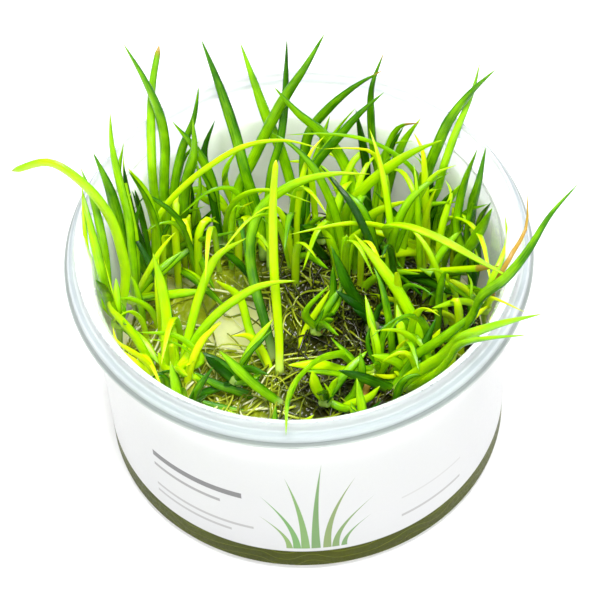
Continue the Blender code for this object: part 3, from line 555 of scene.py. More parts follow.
def smooth_route(points, knots):
    """Even points along a smooth curve through the given ones (Catmull-Rom, then equal steps)."""
    points = np.asarray(points)
    ends = np.vstack((2 * points[0] - points[1], points, 2 * points[-1] - points[-2]))
    fine = []
    for a, b, c, d in zip(ends, ends[1:], ends[2:], ends[3:]):
        t = np.linspace(0.0, 1.0, 12, endpoint=False)[:, None]
        fine.append(0.5 * (2 * b + (c - a) * t + (2 * a - 5 * b + 4 * c - d) * t ** 2
                           + (3 * b - a - 3 * c + d) * t ** 3))
    fine.append(points[-1:])
    fine = np.vstack(fine)
    run = np.concatenate(([0.0], np.cumsum(np.linalg.norm(np.diff(fine, axis=0), axis=1))))
    steps = np.linspace(0.0, run[-1], knots)
    return np.column_stack([np.interp(steps, run, fine[:, axis]) for axis in range(3)])


def leaf_width(width, along):
    """Width along a leaf: even for more than half its length, then drawn to a narrow tip."""
    past = np.clip((along - TRACED_START) / (1.0 - TRACED_START), 0.0, 1.0)
    return width * (1.0 - TRACED_TAPER * past ** TRACED_BEND)


class Leaf:
    """One leaf: the node it belongs to, its width and the knots of its middle line."""

    def __init__(self, node, width, points, rooted):
        self.node = node
        self.width = width
        self.rooted = rooted
        length = np.linalg.norm(np.diff(points, axis=0), axis=1).sum()
        knots = int(np.clip(round(length / KNOT_SPACING) + 1, FEWEST_KNOTS, MOST_KNOTS))
        self.knots = smooth_route(points, knots)
        self.start = self.knots[0].copy()
        steps = np.linspace(0.0, knots - 1.0, (knots - 1) * SUBSTEPS + 1)
        self.blend = np.maximum(0.0, 1.0 - np.abs(steps[:, None] - np.arange(knots)))
        self.half = 0.5 * leaf_width(width, steps / steps[-1])


def crown_places():
    """Centre of each plantlet's crown, standing on the root mat or held above it."""
    places = {}
    for name, (_, (px, py, height), _) in PLANTLETS.items():
        places[name] = inside_cup((px, py, height), CROWN_RADIUS + WALL_CLEARANCE)
    for name, (x, y) in FRONT_CROWNS.items():
        places[name] = np.array((x, y, 0.0))
    for place in places.values():
        place[2] = max(place[2], mat_top(place[0], place[1]) + MAT_CLEARANCE + CROWN_RADIUS)
    return places


def ring_routes(place, count, rise, reach, seed, lean):
    """Seeded leaves in a ring round a crown, each bowed outwards, as width and route."""
    rng = np.random.default_rng(seed)
    routes = []
    for turn in range(count):
        bearing = 2 * math.pi * (turn + rng.uniform(0.1, 0.9)) / count
        outward = np.array((math.cos(bearing), math.sin(bearing), 0.0)) + lean
        outward *= rng.uniform(*reach)
        upward = np.array((0.0, 0.0, rng.uniform(*rise)))
        route = np.array((place, place + outward * 0.35 + upward * 0.55, place + outward + upward))
        routes.append((rng.uniform(*RING_WIDTHS), pull_inside(route)))
    return routes


def gather_leaves(crowns):
    """Every leaf with its first shape, before leaves that touch are parted."""
    leaves = []
    for name, (_, width, _, route) in LONG_LEAVES.items():
        leaves.append(Leaf(name, width, traced(route, width), False))
    for name, (_, _, routes) in PLANTLETS.items():
        for width, route in routes:
            leaves.append(Leaf(name, width, [crowns[name]] + traced(route, width), True))
    for number, (name, place) in enumerate(crowns.items()):
        if name in FRONT_CROWNS:
            low = ring_routes(place, FRONT_LEAVES, FRONT_RISE, FRONT_REACH, FRONT_SEED + number, FRONT_LEAN)
        else:
            inward = -place * (1.0, 1.0, 0.0) / BOTTOM_RADIUS
            low = ring_routes(place, LOW_LEAVES, LOW_RISE, LOW_REACH, LOW_SEED + number, inward)
        for width, points in low:
            leaves.append(Leaf(name, width, points, True))
    return leaves


def cup_push(places, half):
    """Shortest moves that bring points clear of the mat, the wall and the rim."""
    reach = np.hypot(places[:, 0], places[:, 1])
    outward = places * (1.0, 1.0, 0.0) / np.maximum(reach, 1e-6)[:, None]
    room = half + WALL_CLEARANCE
    past_wall = reach - (wall_radius(places[:, 2]) - room)
    to_outside = SKIRT_RADIUS + room - reach
    to_top = CUP_HEIGHT + room - places[:, 2]
    in_wall = (past_wall > 0.0) & (to_outside > 0.0) & (to_top > 0.0)
    at_rim = in_wall & (places[:, 2] > WALL_TOP)
    up = at_rim & (to_top <= past_wall) & (to_top <= to_outside)
    out = at_rim & ~up & (to_outside < past_wall)
    back = in_wall & ~up & ~out
    move = outward * (np.where(out, to_outside, 0.0) - np.where(back, past_wall, 0.0))[:, None]
    move[:, 2] += np.where(up, to_top, 0.0)
    sunk = mat_top(places[:, 0], places[:, 1]) + half + MAT_CLEARANCE - places[:, 2]
    move[:, 2] += np.where((reach < MOUTH_RADIUS) & (sunk > 0.0), sunk, 0.0)
    return move


def leaf_push(places, half, nodes, movable):
    """Moves that part points of different nodes, half of the shortfall to each."""
    tree = kdtree.KDTree(len(places))
    for number, place in enumerate(places):
        tree.insert(place, number)
    tree.balance()
    push = np.zeros_like(places)
    widest = half.max() + LEAF_CLEARANCE
    for number, place in enumerate(places[:movable]):
        for _, other, _ in tree.find_range(place, half[number] + widest):
            if nodes[other] == nodes[number] or other < number:
                continue
            apart = place - places[other]
            distance = max(np.linalg.norm(apart), 1e-3)
            short = half[number] + half[other] + LEAF_CLEARANCE - distance
            if short > 0.0:
                push[number] += apart / distance * short * 0.5
                push[other] -= apart / distance * short * 0.5
    return push


def spread_leaves(leaves, crowns):
    """Part leaves of different nodes, and leaves and cup, a little every round."""
    half = np.concatenate([leaf.half for leaf in leaves] + [np.full(len(crowns), CROWN_RADIUS)])
    nodes = [leaf.node for leaf in leaves for _ in leaf.half] + list(crowns)
    bounds = np.cumsum([0] + [len(leaf.half) for leaf in leaves])
    fixed = np.array(list(crowns.values()))
    for _ in range(SPREAD_ROUNDS):
        places = np.vstack([leaf.blend @ leaf.knots for leaf in leaves] + [fixed])
        push = leaf_push(places, half, nodes, bounds[-1]) + cup_push(places, half)
        for leaf, first, last in zip(leaves, bounds, bounds[1:]):
            move = leaf.blend.T @ push[first:last]
            size = np.linalg.norm(move, axis=1, keepdims=True)
            move *= np.minimum(1.0, LONGEST_MOVE / np.maximum(size, 1e-6))
            padded = np.vstack((move[:1], move, move[-1:]))
            leaf.knots += 0.2 * padded[:-2] + 0.6 * move + 0.2 * padded[2:]
            if leaf.rooted:
                leaf.knots[0] = leaf.start


def leaf_frame(knots):
    """Side and upper-face directions at each knot, turned as little as possible."""
    tangent = np.gradient(knots, axis=0)
    tangent /= np.linalg.norm(tangent, axis=1, keepdims=True)
    sight = np.array((0.0, math.cos(CAMERA_ELEVATION), -math.sin(CAMERA_ELEVATION)))
    side = np.cross(tangent[0], sight)
    sides = []
    for direction in tangent:
        side = side - direction * side.dot(direction)
        side /= np.linalg.norm(side)
        sides.append(side)
    sides = np.array(sides)
    return sides, np.cross(sides, tangent)


def loose_heap(grids, values):
    """Closed shells from grids of (shell, row, column, xyz).

    Columns close on themselves, and a fan to the middle of the first and of the last circle
    shuts each end.  Faces look outwards where column direction x row direction does.
    """
    shells, rows, columns = grids.shape[:3]
    each = rows * columns + 2
    poles = grids[:, (0, -1)].mean(axis=2)
    places = np.concatenate((grids.reshape(shells, -1, 3), poles), axis=1).reshape(-1, 3)
    first = (np.arange(shells) * each)[:, None, None]
    row = (np.arange(rows - 1) * columns)[None, :, None]
    this = np.arange(columns)[None, None, :]
    after = (this + 1) % columns
    one, two = first + row + this, first + row + after
    corners = (one, two, two + columns, one + columns)
    quads = np.stack(np.broadcast_arrays(*corners), axis=-1).reshape(-1, 4)
    end = (rows - 1) * columns
    low = (first + rows * columns, first + after, first + this)
    high = (first + rows * columns + 1, first + end + this, first + end + after)
    fans = [np.stack(np.broadcast_arrays(*fan), axis=-1).reshape(-1, 3) for fan in (low, high)]
    spread = {}
    for name, value in values.items():
        value = np.broadcast_to(value, (shells, rows, columns))
        ends = value[:, (0, -1)].mean(axis=2)
        spread[name] = np.concatenate((value.reshape(shells, -1), ends), axis=1).ravel()
    return places, quads, np.concatenate(fans), spread


def piece_from(name, heaps):
    """One mesh object from several heaps of shells, smooth shaded, with their values as attributes."""
    starts = np.cumsum([0] + [len(heap[0]) for heap in heaps])
    places = np.concatenate([heap[0] for heap in heaps]) * MM
    quads = np.concatenate([heap[1] + start for heap, start in zip(heaps, starts)])
    fans = np.concatenate([heap[2] + start for heap, start in zip(heaps, starts)])
    mesh = bpy.data.meshes.new(name)
    mesh.vertices.add(len(places))
    mesh.vertices.foreach_set("co", places.ravel())
    mesh.loops.add(quads.size + fans.size)
    mesh.loops.foreach_set("vertex_index", np.concatenate((quads.ravel(), fans.ravel())).astype(np.int32))
    mesh.polygons.add(len(quads) + len(fans))
    loop_starts = np.concatenate((np.arange(len(quads)) * 4, quads.size + np.arange(len(fans)) * 3))
    mesh.polygons.foreach_set("loop_start", loop_starts.astype(np.int32))
    mesh.polygons.foreach_set("use_smooth", np.ones(len(mesh.polygons), dtype=bool))
    for key in heaps[0][3]:
        layer = mesh.attributes.new(key, "FLOAT", "POINT")
        layer.data.foreach_set("value", np.concatenate([heap[3][key] for heap in heaps]).astype(np.float32))
    mesh.update(calc_edges=True)
    mesh.validate()
    made = bpy.data.objects.new(name, mesh)
    bpy.context.scene.collection.objects.link(made)
    return made


def stand_for(made, node, material):
    """Let a finished piece stand for its solid, with its finish."""
    made.data.materials.append(material)
    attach(made, "root")
    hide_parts(node)


def rounded(corners, radius, steps=4):
    """A profile with each inner corner cut back by up to radius and bridged by a quadratic curve."""
    corners = np.asarray(corners, dtype=float)
    before = corners[:-2] - corners[1:-1]
    behind = corners[2:] - corners[1:-1]
    long_before = np.linalg.norm(before, axis=1, keepdims=True)
    long_behind = np.linalg.norm(behind, axis=1, keepdims=True)
    entry = corners[1:-1] + before / long_before * np.minimum(radius, 0.45 * long_before)
    leave = corners[1:-1] + behind / long_behind * np.minimum(radius, 0.45 * long_behind)
    t = np.linspace(0.0, 1.0, steps)[None, :, None]
    bends = (1 - t) ** 2 * entry[:, None] + 2 * t * (1 - t) * corners[1:-1, None] + t ** 2 * leave[:, None]
    return np.vstack((corners[:1], bends.reshape(-1, 2), corners[-1:]))


def turned_grid(profile, steps):
    """Radius and height turned about Z: x = r cos a, y = -r sin a, so that faces look outwards."""
    turn = np.linspace(0.0, 2 * math.pi, steps, endpoint=False)
    radius, height = profile[:, :1], profile[:, 1:]
    x, y = radius * np.cos(turn), -radius * np.sin(turn)
    return np.stack(np.broadcast_arrays(x, y, height), axis=-1)[None]


def outer_radius(height):
    """Outer radius of the cup's straight wall."""
    slope = (WALL_TOP_RADIUS - BOTTOM_RADIUS) / (WALL_TOP - BOTTOM_CORNER)
    return BOTTOM_RADIUS + (height - BOTTOM_CORNER) * slope


def cup_grid():
    """Cup: floor, tapered wall, mouth flange and the hollow snap skirt, as one turned profile."""
    inner = BOTTOM_RADIUS - WALL
    corners = [
        (HUB, FLOOR),
        (inner - 2.0, FLOOR),
        (inner - 0.6, FLOOR + 0.5),
        (inner, FLOOR + 1.9),
        (WALL_TOP_RADIUS - WALL, WALL_TOP),
        (MOUTH_RADIUS - 0.5, CUP_HEIGHT - 3.2),
        (MOUTH_RADIUS, CUP_HEIGHT - 1.6),
        (LIP_RADIUS - 0.4, CUP_HEIGHT),
        (LIP_RADIUS, CUP_HEIGHT - 0.5),
        (LIP_RADIUS + 0.5, CUP_HEIGHT - 2.6),
        (LIP_RADIUS + 1.5, CUP_HEIGHT - 3.2),
        (LIP_RADIUS + 1.7, CUP_HEIGHT - 4.9),
        (SKIRT_RADIUS, SKIRT_FOOT + 0.4),
        (SKIRT_RADIUS - 0.1, SKIRT_FOOT),
        (SKIRT_RADIUS - 0.9, SKIRT_FOOT + 0.3),
        (LIP_RADIUS + 0.6, CUP_HEIGHT - 3.8),
        (MOUTH_RADIUS + 0.7, CUP_HEIGHT - 3.6),
        (WALL_TOP_RADIUS + 0.2, WALL_TOP + 0.6),
        (WALL_TOP_RADIUS, WALL_TOP),
        (BOTTOM_RADIUS, BOTTOM_CORNER),
        (BOTTOM_RADIUS - 0.35, 0.35),
        (BOTTOM_RADIUS - BOTTOM_CORNER, 0.0),
        (HUB, 0.0),
    ]
    return turned_grid(rounded(corners, 0.35), ROUND_STEPS)


def gel_grid():
    """Gel: a turned disc whose top creeps up where it meets the wall."""
    inner = BOTTOM_RADIUS - WALL - GAP
    foot = FLOOR + GAP
    edge = wall_radius(GEL_TOP) - GAP
    corners = [
        (HUB, GEL_TOP),
        (edge - 5.0, GEL_TOP - 0.05),
        (edge - 1.2, GEL_TOP + 0.05),
        (edge - 0.15, GEL_TOP + 0.35),
        (edge - 0.1, GEL_TOP - 0.4),
        (inner, foot + 2.4),
        (inner - 2.2, foot),
        (HUB, foot),
    ]
    return turned_grid(rounded(corners, 1.0), ROUND_STEPS)


def label_heap():
    """Label: a flat section with soft corners carried once round the wall and a little over its start."""
    corners = np.array([
        (0.04, LABEL_TOP),
        (LABEL_THICKNESS - 0.04, LABEL_TOP),
        (LABEL_THICKNESS, LABEL_TOP - 0.06),
        (LABEL_THICKNESS, LABEL_FOOT + 0.06),
        (LABEL_THICKNESS - 0.04, LABEL_FOOT),
        (0.04, LABEL_FOOT),
        (0.0, LABEL_FOOT + 0.06),
        (0.0, LABEL_TOP - 0.06),
    ])
    between = np.linspace(0.0, 1.0, 6, endpoint=False)[None, :, None]
    following = np.roll(corners, -1, axis=0)
    section = (corners[:, None] + (following - corners)[:, None] * between).reshape(-1, 2)
    turn = np.linspace(0.0, 2 * math.pi + LABEL_OVERLAP, LABEL_STEPS)[:, None]
    lift = OVERLAP_LIFT * np.clip((turn - 2 * math.pi + OVERLAP_RUN) / OVERLAP_RUN, 0.0, 1.0)
    depth, height = section[:, 0], section[:, 1]
    radius = outer_radius(height) + GAP + depth + lift
    bearing = SEAM_BEARING + turn
    grid = np.stack(np.broadcast_arrays(radius * np.cos(bearing), radius * np.sin(bearing), height), axis=-1)
    front = (bearing - 1.5 * math.pi) * BOTTOM_RADIUS
    inside = (depth < 0.5 * LABEL_THICKNESS).astype(float)
    return loose_heap(grid[None], {"round_mm": front, "height_mm": height, "inside": inside})


def mat_grid():
    """Root mat: radius runs out along the lumpy top and back along the flat foot."""
    share = np.linspace(0.004, 1.0, MAT_ROWS)
    out = MAT_RADIUS * share ** 0.85
    turn = np.linspace(0.0, 2 * math.pi, MAT_COLUMNS, endpoint=False)
    x, y = np.outer(out, np.cos(turn)), -np.outer(out, np.sin(turn))
    strands = 0.30 * np.sin(1.9 * x + 2.2 * np.sin(0.7 * y)) * np.sin(1.7 * y + 1.8 * np.sin(0.9 * x))
    ridges = 0.22 * np.sin(3.1 * x - 2.3 * y + 2.5 * np.sin(0.8 * x + 0.6 * y))
    calm = np.clip((mat_top(x, y) - GEL_TOP - 1.4) / 1.5, 0.0, 1.0)
    top = np.stack((x, y, mat_top(x, y) + (strands + ridges - 0.35) * calm), axis=-1)
    foot = np.stack((x, y, np.full_like(x, GEL_TOP + GAP)), axis=-1)[::-1]
    return np.concatenate((top, foot), axis=0)[None]


def tube_grid(paths, radius, columns):
    """Round tubes along many paths at once: path + radius (side cos a - face sin a)."""
    tangent = np.gradient(paths, axis=1)
    tangent /= np.maximum(np.linalg.norm(tangent, axis=2, keepdims=True), 1e-9)
    side = np.cross(tangent, np.array((0.21, 0.13, 1.0)))
    side /= np.maximum(np.linalg.norm(side, axis=2, keepdims=True), 1e-9)
    face = np.cross(side, tangent)
    turn = np.linspace(0.0, 2 * math.pi, columns, endpoint=False)
    ring = side[:, :, None] * np.cos(turn)[:, None] - face[:, :, None] * np.sin(turn)[:, None]
    return paths[:, :, None] + ring * radius[:, :, None, None]


def root_heap():
    """Fine roots that wander over the mat: heading swings as two sines, height is the mat's plus a hump."""
    rng = np.random.default_rng(ROOT_SEED)
    t = np.linspace(0.0, 1.0, ROOT_ROWS)[None]

    def pick(low, high):
        return rng.uniform(low, high, (ROOT_COUNT, 1))

    heading = pick(0.0, 6.28) + pick(-2.2, 2.2) * t
    heading = heading + pick(0.2, 1.1) * np.sin(pick(3.0, 9.0) * t + pick(0.0, 6.28))
    step = pick(*ROOT_LENGTHS) / ROOT_ROWS
    start_turn, start_out = pick(0.0, 6.28), (MAT_RADIUS - 2.0) * np.sqrt(pick(0.0, 1.0))
    x = start_out * np.cos(start_turn) + np.cumsum(np.cos(heading) * step, axis=1)
    y = start_out * np.sin(start_turn) + np.cumsum(np.sin(heading) * step, axis=1)
    out = np.hypot(x, y)
    pull = np.minimum(1.0, (MAT_RADIUS + 0.6) / np.maximum(out, 1e-6))
    x, y = x * pull, y * pull
    hump = pick(*ROOT_HUMPS) * np.sin(math.pi * t) ** 2
    hump = hump + 0.35 * np.sin(pick(9.0, 20.0) * t + pick(0.0, 6.28))
    z = np.maximum(mat_top(x, y), GEL_TOP + 0.5) + 0.1 + np.abs(hump)
    radius = pick(*ROOT_RADII) * (1.0 - 0.7 * t ** 2)
    grid = tube_grid(np.stack((x, y, z), axis=-1), radius, ROOT_COLUMNS)
    shade = 0.9 * pick(0.0, 1.0)[:, :, None] ** 1.6
    clear = np.ones(ROOT_COUNT, dtype=bool)
    for pocket_x, pocket_y, pocket in POCKETS:
        away = np.hypot(x - pocket_x, y - pocket_y).min(axis=1) > pocket - 0.5
        clear &= away | (pick(0.0, 1.0)[:, 0] < 0.08)
    return loose_heap(grid[clear], {"shade": shade[clear]})


def blade_outline(share, width, blunt):
    """Half width along a blade.

    It flares at the crown, is slim at the foot and even in the middle, tapers by a power of
    the share and closes with the round of a circle at the tip.
    """
    taper = np.clip((share - TAPER_START) / TAPER_LENGTH, 0.0, 1.0) ** TAPER_BEND
    half = 0.5 * width * (1.0 - (BLUNT_TAPER if blunt else SHARP_TAPER) * taper)
    half = half * (SLIM_FOOT + (1.0 - SLIM_FOOT) * np.clip(share / FOOT_LENGTH, 0.0, 1.0))
    half = half * (1.0 + FLARE * np.exp(-(share / FLARE_LENGTH) ** 2))
    closing = np.clip((share - TIP_START) / TIP_LENGTH, 0.0, 1.0)
    return half * np.sqrt(np.clip(1.0 - closing ** 2, 0.01, 1.0))


def blade_heap(knots, width, grid_size, green, shade, dead=0.0, blunt=False):
    """Waxy half-round blade along a smooth middle line.

    Across the blade the edge is half a width times cos a, the low face rises by
    FACE_SIDE sin a with a shallow groove, and the round back drops by BACK_SIDE sin a.
    """
    rows, columns = grid_size
    middle = smooth_route(knots, rows)
    side, face = leaf_frame(middle)
    share = np.linspace(0.0, 1.0, rows)
    half = blade_outline(share, width, blunt)[:, None, None]
    turn = np.linspace(0.0, 2 * math.pi, columns, endpoint=False)
    across = np.cos(turn)
    groove = GROOVE * np.exp(-(across / GROOVE_WIDTH) ** 2) * (np.sin(turn) > 0.0)
    rise = np.where(np.sin(turn) > 0.0, FACE_SIDE, BACK_SIDE) * np.sin(turn) - groove
    grid = middle[:, None] + side[:, None] * (across[:, None] * half)
    grid = grid + face[:, None] * (rise[:, None] * half)
    length = np.linalg.norm(np.diff(middle, axis=0), axis=1).sum()
    values = {
        "share": share[None, :, None],
        "along": (share * length)[None, :, None],
        "across": across[::-1][None, None, :],
        "green": (green[0] + (green[1] - green[0]) * share)[None, :, None],
        "shade": shade,
        "dead": dead,
    }
    return loose_heap(grid[None, :, ::-1], values)


def crown_heap(place, green, shade):
    """Crown: a small ribbed bulb, pale at its foot; its radius is the profile's times 1 + RIB cos 5 a."""
    foot = mat_top(place[0], place[1]) + MAT_CLEARANCE - place[2]
    corners = [
        (AXIS, CROWN_RADIUS * 0.95),
        (CROWN_RADIUS * 0.5, CROWN_RADIUS * 0.75),
        (CROWN_RADIUS * 0.85, CROWN_RADIUS * 0.2),
        (CROWN_RADIUS * 0.9, -CROWN_RADIUS * 0.25),
        (CROWN_RADIUS * 0.45, max(-CROWN_RADIUS * 0.9, foot * 0.7)),
        (AXIS, foot),
    ]
    profile = rounded(corners, 0.6)
    grid = turned_grid(profile, CROWN_COLUMNS)
    ribs = 1.0 + RIB * np.cos(np.linspace(0.0, 2 * math.pi, CROWN_COLUMNS, endpoint=False) * 5.0)
    grid[..., :2] *= ribs[None, None, :, None]
    share = np.clip((profile[:, 1] - foot) / (CROWN_RADIUS - foot), 0.0, 1.0) * 0.05
    values = {
        "share": share[None, :, None],
        "along": (profile[:, 1] + CROWN_RADIUS)[None, :, None],
        "across": 0.0,
        "green": green,
        "shade": shade,
        "dead": 0.0,
    }
    return loose_heap(grid + place, values)


def fill_leaves(crowns, rng):
    """Leaves that thicken the tangle, as node, green, width and route.

    Traced ones come from FILL_LEAVES.  The others stand at seeded places on the mat, lean
    away from the middle and bow; each belongs to the plantlet whose crown is nearest.
    """
    names = list(crowns)
    places = np.array([crowns[name] for name in names])
    made = []
    for node, routes in FILL_LEAVES.items():
        for green, width, route in routes:
            made.append((node, green, width, smooth_route(traced(route, width), ROUTE_POINTS)))
    for count, (low_x, high_x), (low_y, high_y), (low_rise, high_rise) in FILL_BEDS:
        for _ in range(count):
            x, y = rng.uniform(low_x, high_x), rng.uniform(low_y, high_y)
            foot = np.array((x, y, mat_top(x, y) + 0.6))
            rise = np.array((0.0, 0.0, rng.uniform(low_rise, high_rise)))
            spread = rng.normal(0.0, LEAN_SPREAD * rise[2], 2)
            lean = np.array((*(LEAN_AWAY * foot[:2] + spread), 0.0))
            bow = rng.uniform(*BED_BOW)
            low = foot + 0.15 * lean + 0.5 * rise
            bend = foot + 0.5 * lean + 0.9 * bow * rise + 0.1 * rise
            tip = foot + lean + (2.0 * bow - 0.7) * rise
            route = smooth_route(pull_inside(np.array((foot, low, bend, tip))), ROUTE_POINTS)
            nearest = names[int(np.argmin(np.hypot(*(places[:, :2] - foot[:2]).T)))]
            green = np.clip(rng.normal(*BED_GREEN), *BED_GREEN_ENDS)
            made.append((nearest, green, rng.uniform(*BED_WIDTHS), route))
    return made


def young_leaves(leaves, rng):
    """More short leaves of a plantlet, each a blend of two of its own, cut shorter and bowed a little."""
    arch = np.sin(np.linspace(0.0, math.pi, ROUTE_POINTS))[:, None]
    made = []
    for _ in range(YOUNG_LEAVES):
        one, two = rng.choice(len(leaves), 2, replace=False)
        mix = rng.uniform(*YOUNG_MIX)
        route = smooth_route(leaves[one].knots, ROUTE_POINTS) * mix
        route = route + smooth_route(leaves[two].knots, ROUTE_POINTS) * (1.0 - mix)
        route = route[0] + (route - route[0]) * rng.uniform(*YOUNG_LENGTH)
        bow = rng.normal(0.0, YOUNG_BOW, 3) * arch
        made.append((rng.uniform(*YOUNG_WIDTHS), route + bow))
    return made


class Wire:
    """A value in a shader tree: each sum, product and so on that it starts is a Math node."""

    def __init__(self, tree, socket):
        self.tree = tree
        self.socket = socket

    def step(self, operation, other=0.0):
        """One Math node, with this value in front."""
        return add(self.tree, "ShaderNodeMath", {0: self, 1: other}, operation=operation)

    def __add__(self, other):
        return self.step("ADD", other)

    def __sub__(self, other):
        return self.step("SUBTRACT", other)

    def __mul__(self, other):
        return self.step("MULTIPLY", other)

    def __truediv__(self, other):
        return self.step("DIVIDE", other)

    def __abs__(self):
        return self.step("ABSOLUTE")


def fill_inputs(tree, node, wires):
    """Wire or set inputs of a shader node, each known by its name or number."""
    for key, value in wires.items():
        socket = node.inputs[key]
        if isinstance(value, Wire):
            tree.links.new(value.socket, socket)
        elif socket.type == "RGBA":
            socket.default_value = (*value, 1.0)
        else:
            socket.default_value = value


def add_node(tree, kind, wires, **settings):
    """A new shader node with its settings and its inputs."""
    node = tree.nodes.new(kind)
    for key, value in settings.items():
        setattr(node, key, value)
    fill_inputs(tree, node, wires)
    return node


def add(tree, kind, wires, out=0, **settings):
    """The wire that leaves a new shader node."""
    return Wire(tree, add_node(tree, kind, wires, **settings).outputs[out])


def blend(share, low, high):
    """Mix of two colours by a share."""
    return add(share.tree, "ShaderNodeMix", {0: share, 6: low, 7: high}, 2, data_type="RGBA")


def ramp(value, low, high, start=0.0, end=1.0):
    """Value carried smoothly from low..high to start..end."""
    wires = {0: value, 1: low, 2: high, 3: start, 4: end}
    return add(value.tree, "ShaderNodeMapRange", wires, interpolation_type="SMOOTHSTEP")


def attribute(tree, name):
    """A value stored on the mesh."""
    return add(tree, "ShaderNodeAttribute", {}, "Fac", attribute_name=name)


def object_place(tree):
    """Object coordinates, in metres."""
    return add(tree, "ShaderNodeTexCoord", {}, "Object")


def joined(x, y, z):
    """A place put together from three values."""
    return add(x.tree, "ShaderNodeCombineXYZ", {0: x, 1: y, 2: z})


def parted(place):
    """The three values of a place."""
    node = add_node(place.tree, "ShaderNodeSeparateXYZ", {0: place})
    return [Wire(place.tree, socket) for socket in node.outputs]


def noise(place, scale, detail, rough, warp=0.0):
    """Noise value at a place."""
    wires = {"Vector": place, "Scale": scale, "Detail": detail, "Roughness": rough, "Distortion": warp}
    return add(place.tree, "ShaderNodeTexNoise", wires)


def bump(height, distance, strength):
    """Normal from a height."""
    return add(height.tree, "ShaderNodeBump", {"Height": height, "Distance": distance, "Strength": strength})


def colour_scale(value, stops):
    """Colour looked up on a scale of 0 to 1, from stops given as position and colour."""
    node = add_node(value.tree, "ShaderNodeValToRGB", {0: value})
    marks = node.color_ramp.elements
    marks[0].color = (*stops[0][1], 1.0)
    marks[1].color = (*stops[-1][1], 1.0)
    for position, colour in stops[1:-1]:
        marks.new(position).color = (*colour, 1.0)
    return Wire(value.tree, node.outputs[0])


def new_group(name, inputs, outputs):
    """An empty shader node group: its tree, its inputs as wires, and the node of its outputs."""
    tree = bpy.data.node_groups.new(name, "ShaderNodeTree")
    for label in inputs:
        tree.interface.new_socket(label, in_out="INPUT", socket_type="NodeSocketFloat")
    for label, kind in outputs.items():
        tree.interface.new_socket(label, in_out="OUTPUT", socket_type=kind)
    given = tree.nodes.new("NodeGroupInput")
    return tree, [Wire(tree, given.outputs[label]) for label in inputs], tree.nodes.new("NodeGroupOutput")


def new_material(name):
    """A material and its tree."""
    material = bpy.data.materials.new(name)
    material.use_nodes = True
    return material, material.node_tree


def finished(material, wires):
    """The material with the inputs of its shader filled."""
    tree = material.node_tree
    fill_inputs(tree, tree.nodes["Principled BSDF"], wires)
    return material


def leaf_skin_group():
    """Waxy leaf skin: the leaf's own green from foot to tip, veins, painted shade at the edges and on one
    side, paler foot, dead end.
    """
    outputs = {"Colour": "NodeSocketColor", "Roughness": "NodeSocketFloat", "Height": "NodeSocketFloat"}
    tree, (depth,), result = new_group("leaf_skin", ("Depth",), outputs)
    share, along, across = [attribute(tree, name) for name in ("share", "along", "across")]
    shade, dead, green = [attribute(tree, name) for name in ("shade", "dead", "green")]
    veins = noise(joined(across * 4.2, along * 0.05, shade * 37.0), 2.6, 3.0, 0.6)
    cloud = noise(joined(across * 0.5, along * 0.16, shade * 91.0), 1.3, 2.0, 0.5)
    swing = (cloud - 0.5) * 0.7 + (veins - 0.5) * 0.8
    # painted light and shade: each blade darker at its edges, lighter on one side and darker on the other
    edge = abs(across).step("POWER", 4.0) * -0.16 + across * 0.09
    colour = colour_scale(green + (edge + swing * depth), GREENS)
    colour = blend(ramp(share, 0.0, 0.12, 1.0, 0.0) * 0.5, colour, LEAF_FOOT)
    colour = blend(ramp(share + dead, 1.0, 1.05) * 0.9, colour, DEAD_BROWN)
    rough = ramp(veins, 0.2, 0.8, 0.14, 0.28)
    fill_inputs(tree, result, {"Colour": colour, "Roughness": rough, "Height": veins})
    return tree


def leaf_material(name, depth, soak, group):
    """Leaf: light soaks through it a little, and the wax gives a narrow shine."""
    material, tree = new_material(name)
    skin = add_node(tree, "ShaderNodeGroup", {"Depth": depth}, node_tree=group)
    colour, rough, height = [Wire(tree, skin.outputs[label]) for label in ("Colour", "Roughness", "Height")]
    return finished(material, {
        "Base Color": colour,
        "Roughness": rough,
        "Normal": bump(height, 0.0001, 0.6),
        "Subsurface Weight": soak,
        "Subsurface Radius": (1.0, 1.3, 0.05),
        "Subsurface Scale": 0.001,
        "Specular IOR Level": 0.34,
    })


def cup_material():
    """Clear moulded plastic with faint flow ripples, greyer in the rim, with painted shade along its bends.
    """
    material, tree = new_material("clear_moulded_plastic")
    place = object_place(tree)
    flow = noise(place, 70.0, 3.0, 0.5, 0.6)
    fine = noise(place, 900.0, 2.0, 0.5)
    x, y, level = parted(place)
    out = (x * x + y * y).step("SQRT")
    rim = ramp(out, (MOUTH_RADIUS + 1.0) * MM, (LIP_RADIUS - 0.1) * MM)
    colour = blend(rim, CLEAR_TINT, blend(flow, *RIM_GREYS))
    # painted shade: dark bands along the rim's bends and at the skirt's foot, where shade falls
    for height, reach, tint in PAINTED_SHADE_LINES:
        away = abs(level - height * MM)
        colour = blend(rim * ramp(away, 0.4 * reach * MM, reach * MM, 0.9, 0.0), colour, tint)
    return finished(material, {
        "Base Color": colour,
        "Roughness": ramp(fine, 0.3, 0.7, 0.06, 0.12) + rim * 0.22,
        "Normal": bump(flow, 0.00025, 0.35),
        "Transmission Weight": 0.66,
        "IOR": 1.45,
    })


def gel_material():
    """Pale yellow nutrient jelly: cloudy, wet, with faint swirls."""
    material, tree = new_material("nutrient_jelly")
    swirl = noise(object_place(tree), 55.0, 4.0, 0.6, 1.2)
    return finished(material, {
        "Base Color": blend(swirl, *GEL_YELLOWS),
        "Roughness": ramp(swirl, 0.3, 0.7, 0.03, 0.12),
        "Normal": bump(swirl, 0.0012, 0.5),
        "Subsurface Weight": 0.85,
        "Subsurface Radius": (3.0, 2.8, 1.2),
        "Subsurface Scale": 0.003,
        "IOR": 1.34,
    })


